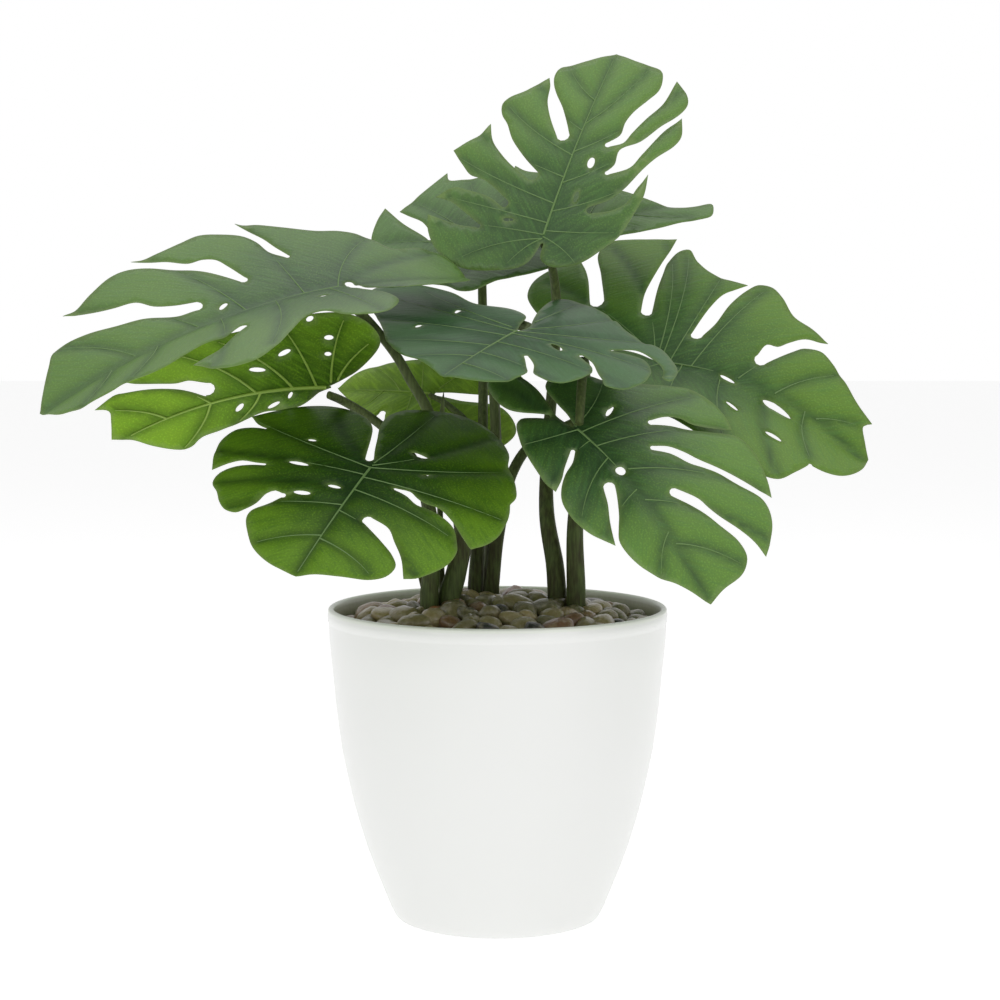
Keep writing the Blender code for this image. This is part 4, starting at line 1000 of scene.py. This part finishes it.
def mark_points(mesh, leaf, flat, to_edge, to_vein):
    """Stores what the finish needs on both faces: painted shade by the veins and at the heart, painted edge
    highlight and outer light shares, streaks and UV.
    """
    from_middle = np.hypot(flat[:, 0] - 0.3 * leaf["reach"], flat[:, 1])
    values = {
        "vein_crease_shade": np.exp(-((to_vein / RIB_SHADE) ** 1.4)),
        "edge": np.exp(-to_edge / EDGE_SHADE),
        "shaded_heart": np.exp(-((np.hypot(flat[:, 0] - 4, flat[:, 1]) / HEART_SHADE) ** 2)),
        "outer": np.clip((from_middle + 0.6 * flat[:, 0]) / OUTER_REACH, 0, 1),
    }
    for label, value in values.items():
        mesh.attributes.new(label, "FLOAT", "POINT").data.foreach_set("value", np.tile(value, 2))
    # Fine streaks run outwards from the midrib and towards the tip, as the side veins do.
    mirrored = np.stack([flat[:, 0], np.abs(flat[:, 1])], 1)
    across = mirrored @ np.array([STREAK_WAY[1], -STREAK_WAY[0]])
    streak = np.stack([across / 1.5, mirrored @ STREAK_WAY / 12, np.sign(flat[:, 1]) * 3], 1)
    held = mesh.attributes.new("streak", "FLOAT_VECTOR", "POINT")
    held.data.foreach_set("vector", np.tile(streak, (2, 1)).ravel())
    spread = mesh.uv_layers.new(name="blade")
    corners = np.empty(len(mesh.loops), np.int32)
    mesh.loops.foreach_get("vertex_index", corners)
    spread.data.foreach_set("uv", (flat[corners % len(flat)] / 100).ravel())


def vein_paths(closed, lines, place):
    """Each vein's path and radius on the upper and the lower face, as far as the first edge it meets."""
    paths = []
    for i, line in enumerate(lines):
        on_blade = inside([ring[:-1] for ring in closed], line) & (distance_to(closed, line) > VEIN_MARGIN)
        started = np.argmax(on_blade)
        left_at = np.argmin(np.append(on_blade[started:], False))
        kept = line[started:started + left_at]
        if len(kept) < 3:
            continue
        radius = np.linspace(*(SIDE_VEIN_THICK if i else MIDRIB_THICK), len(kept))
        for side, stout in ((1, 1.0), (-1, UNDERSIDE_STOUT)):
            raised = place(kept, side * (BLADE_THICK / 2 + 0.15 * stout * radius))
            paths.append(np.column_stack([raised, stout * radius]))
    return paths


def add_blade(name, leaf, vein_finish):
    """One leaf: its blade, and its raised veins as a second piece."""
    rings = [flowing_outline(leaf["outline"])] + [oval(*hole) for hole in leaf["holes"]]
    flat, faces, closed = triangulated(rings, BLADE_CELL)
    lines = vein_lines(leaf)

    def quilt(points):
        return -QUILT_DEPTH * np.exp(-((distance_to(lines, points) / QUILT_WIDTH) ** 2))

    place = blade_surface(leaf, quilt)
    to_edge = distance_to(closed, flat)
    half = BLADE_THICK / 2 * np.clip(0.35 + to_edge / 3, 0.35, 1)
    mesh = sheet_mesh(name, place(flat, half), place(flat, -half), faces.tolist())
    mark_points(mesh, leaf, flat, to_edge, distance_to(lines, flat))
    mesh.materials.append(leaf_finish("skin_" + name, leaf).material)
    blade = bpy.data.objects.new(name, mesh)
    bpy.context.scene.collection.objects.link(blade)
    paths = path_curve("vein_paths", vein_paths(closed, lines, place))
    ribs = grow("ribs_" + name, paths, stalk_shape, {
        "Sides": VEIN_SIDES, "Fluting": 0.0, "Flutes": 1.0, "Finish": vein_finish.material})
    return blade, ribs


vein_skin = Finish("vein_skin", (0.14, 0.25, 0.07), 0.45, Coat_Weight=0.15)
lit_vein_skin = Finish("vein_skin_lit", (0.24, 0.38, 0.05), 0.45)
for name, leaf in LEAVES.items():
    lit = name in LIT_LEAVES
    blade, ribs = add_blade("blade_" + name, leaf, lit_vein_skin if lit else vein_skin)
    for piece in (blade, ribs):
        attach(piece, "root")
    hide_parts("leaf_" + name)

# ---------------------------------------------------------------------------------------------
# The studio: a plain white floor, a wide soft light overhead, two weaker ones at the front, and
# the camera a little above the rim of the pot.
# ---------------------------------------------------------------------------------------------
FLOOR_HALF = 6.0
FLOOR_GLOW = 0.37  # keeps the floor as white as the backdrop
SKY_ON_PLANT = 0.62  # the backdrop lights the plant less than it shows
SKY_SEEN = 1.0
VIEW_FROM = (0, -1.1, 0.282)
VIEW_TILT = 85  # degrees from straight down
VIEW_LENS = 90
VIEW_SENSOR = 36
VIEW_SHIFT = 0.0025

floor_finish = Finish("studio_floor", (0.93, 0.93, 0.93), 0.9, Emission_Color=(1, 1, 1, 1),
                      Emission_Strength=FLOOR_GLOW)
floor_mesh = bpy.data.meshes.new("studio_floor")
corners = [(x * FLOOR_HALF, y * FLOOR_HALF, 0) for x, y in ((-1, -1), (1, -1), (1, 1), (-1, 1))]
floor_mesh.from_pydata(corners, [], [(0, 1, 2, 3)])
floor_mesh.materials.append(floor_finish.material)
studio_floor = bpy.data.objects.new("studio_floor", floor_mesh)
bpy.context.scene.collection.objects.link(studio_floor)


def soft_light(name, place, target, size, power):
    """A square soft light turned towards a point."""
    lamp = bpy.data.lights.new(name, "AREA")
    lamp.shape = "SQUARE"
    lamp.size = size
    lamp.energy = power
    holder = bpy.data.objects.new(name, lamp)
    holder.location = place
    holder.rotation_euler = (Vector(target) - Vector(place)).to_track_quat("-Z", "Y").to_euler()
    bpy.context.scene.collection.objects.link(holder)


soft_light("overhead", (0.05, 0.25, 1.5), (0, 0, 0.2), 1.5, 4.2)
soft_light("front_left", (-1.1, -1.5, 0.8), (0, 0, 0.15), 0.9, 3.6)
soft_light("front_right", (1.2, -1.4, 0.6), (0, 0, 0.15), 0.9, 2.6)
sky = bpy.data.worlds.new("studio")
sky.use_nodes = True
sky.node_tree.nodes["Background"].inputs["Color"].default_value = (1, 1, 1, 1)
seen = sky.node_tree.nodes.new("ShaderNodeLightPath").outputs["Is Camera Ray"]
level = place_node(sky.node_tree, "ShaderNodeMapRange", {}, {
    "Value": seen, "To Min": SKY_ON_PLANT, "To Max": SKY_SEEN})
sky.node_tree.links.new(level.outputs["Result"], sky.node_tree.nodes["Background"].inputs["Strength"])
bpy.context.scene.world = sky
bpy.context.scene.view_settings.view_transform = "Standard"

lens = bpy.data.cameras.new("view")
lens.lens = VIEW_LENS
lens.sensor_width = VIEW_SENSOR
lens.shift_x = VIEW_SHIFT
camera = bpy.data.objects.new("view", lens)
camera.location = VIEW_FROM
camera.rotation_euler = (math.radians(VIEW_TILT), 0, 0)
bpy.context.scene.collection.objects.link(camera)
bpy.context.scene.camera = camera
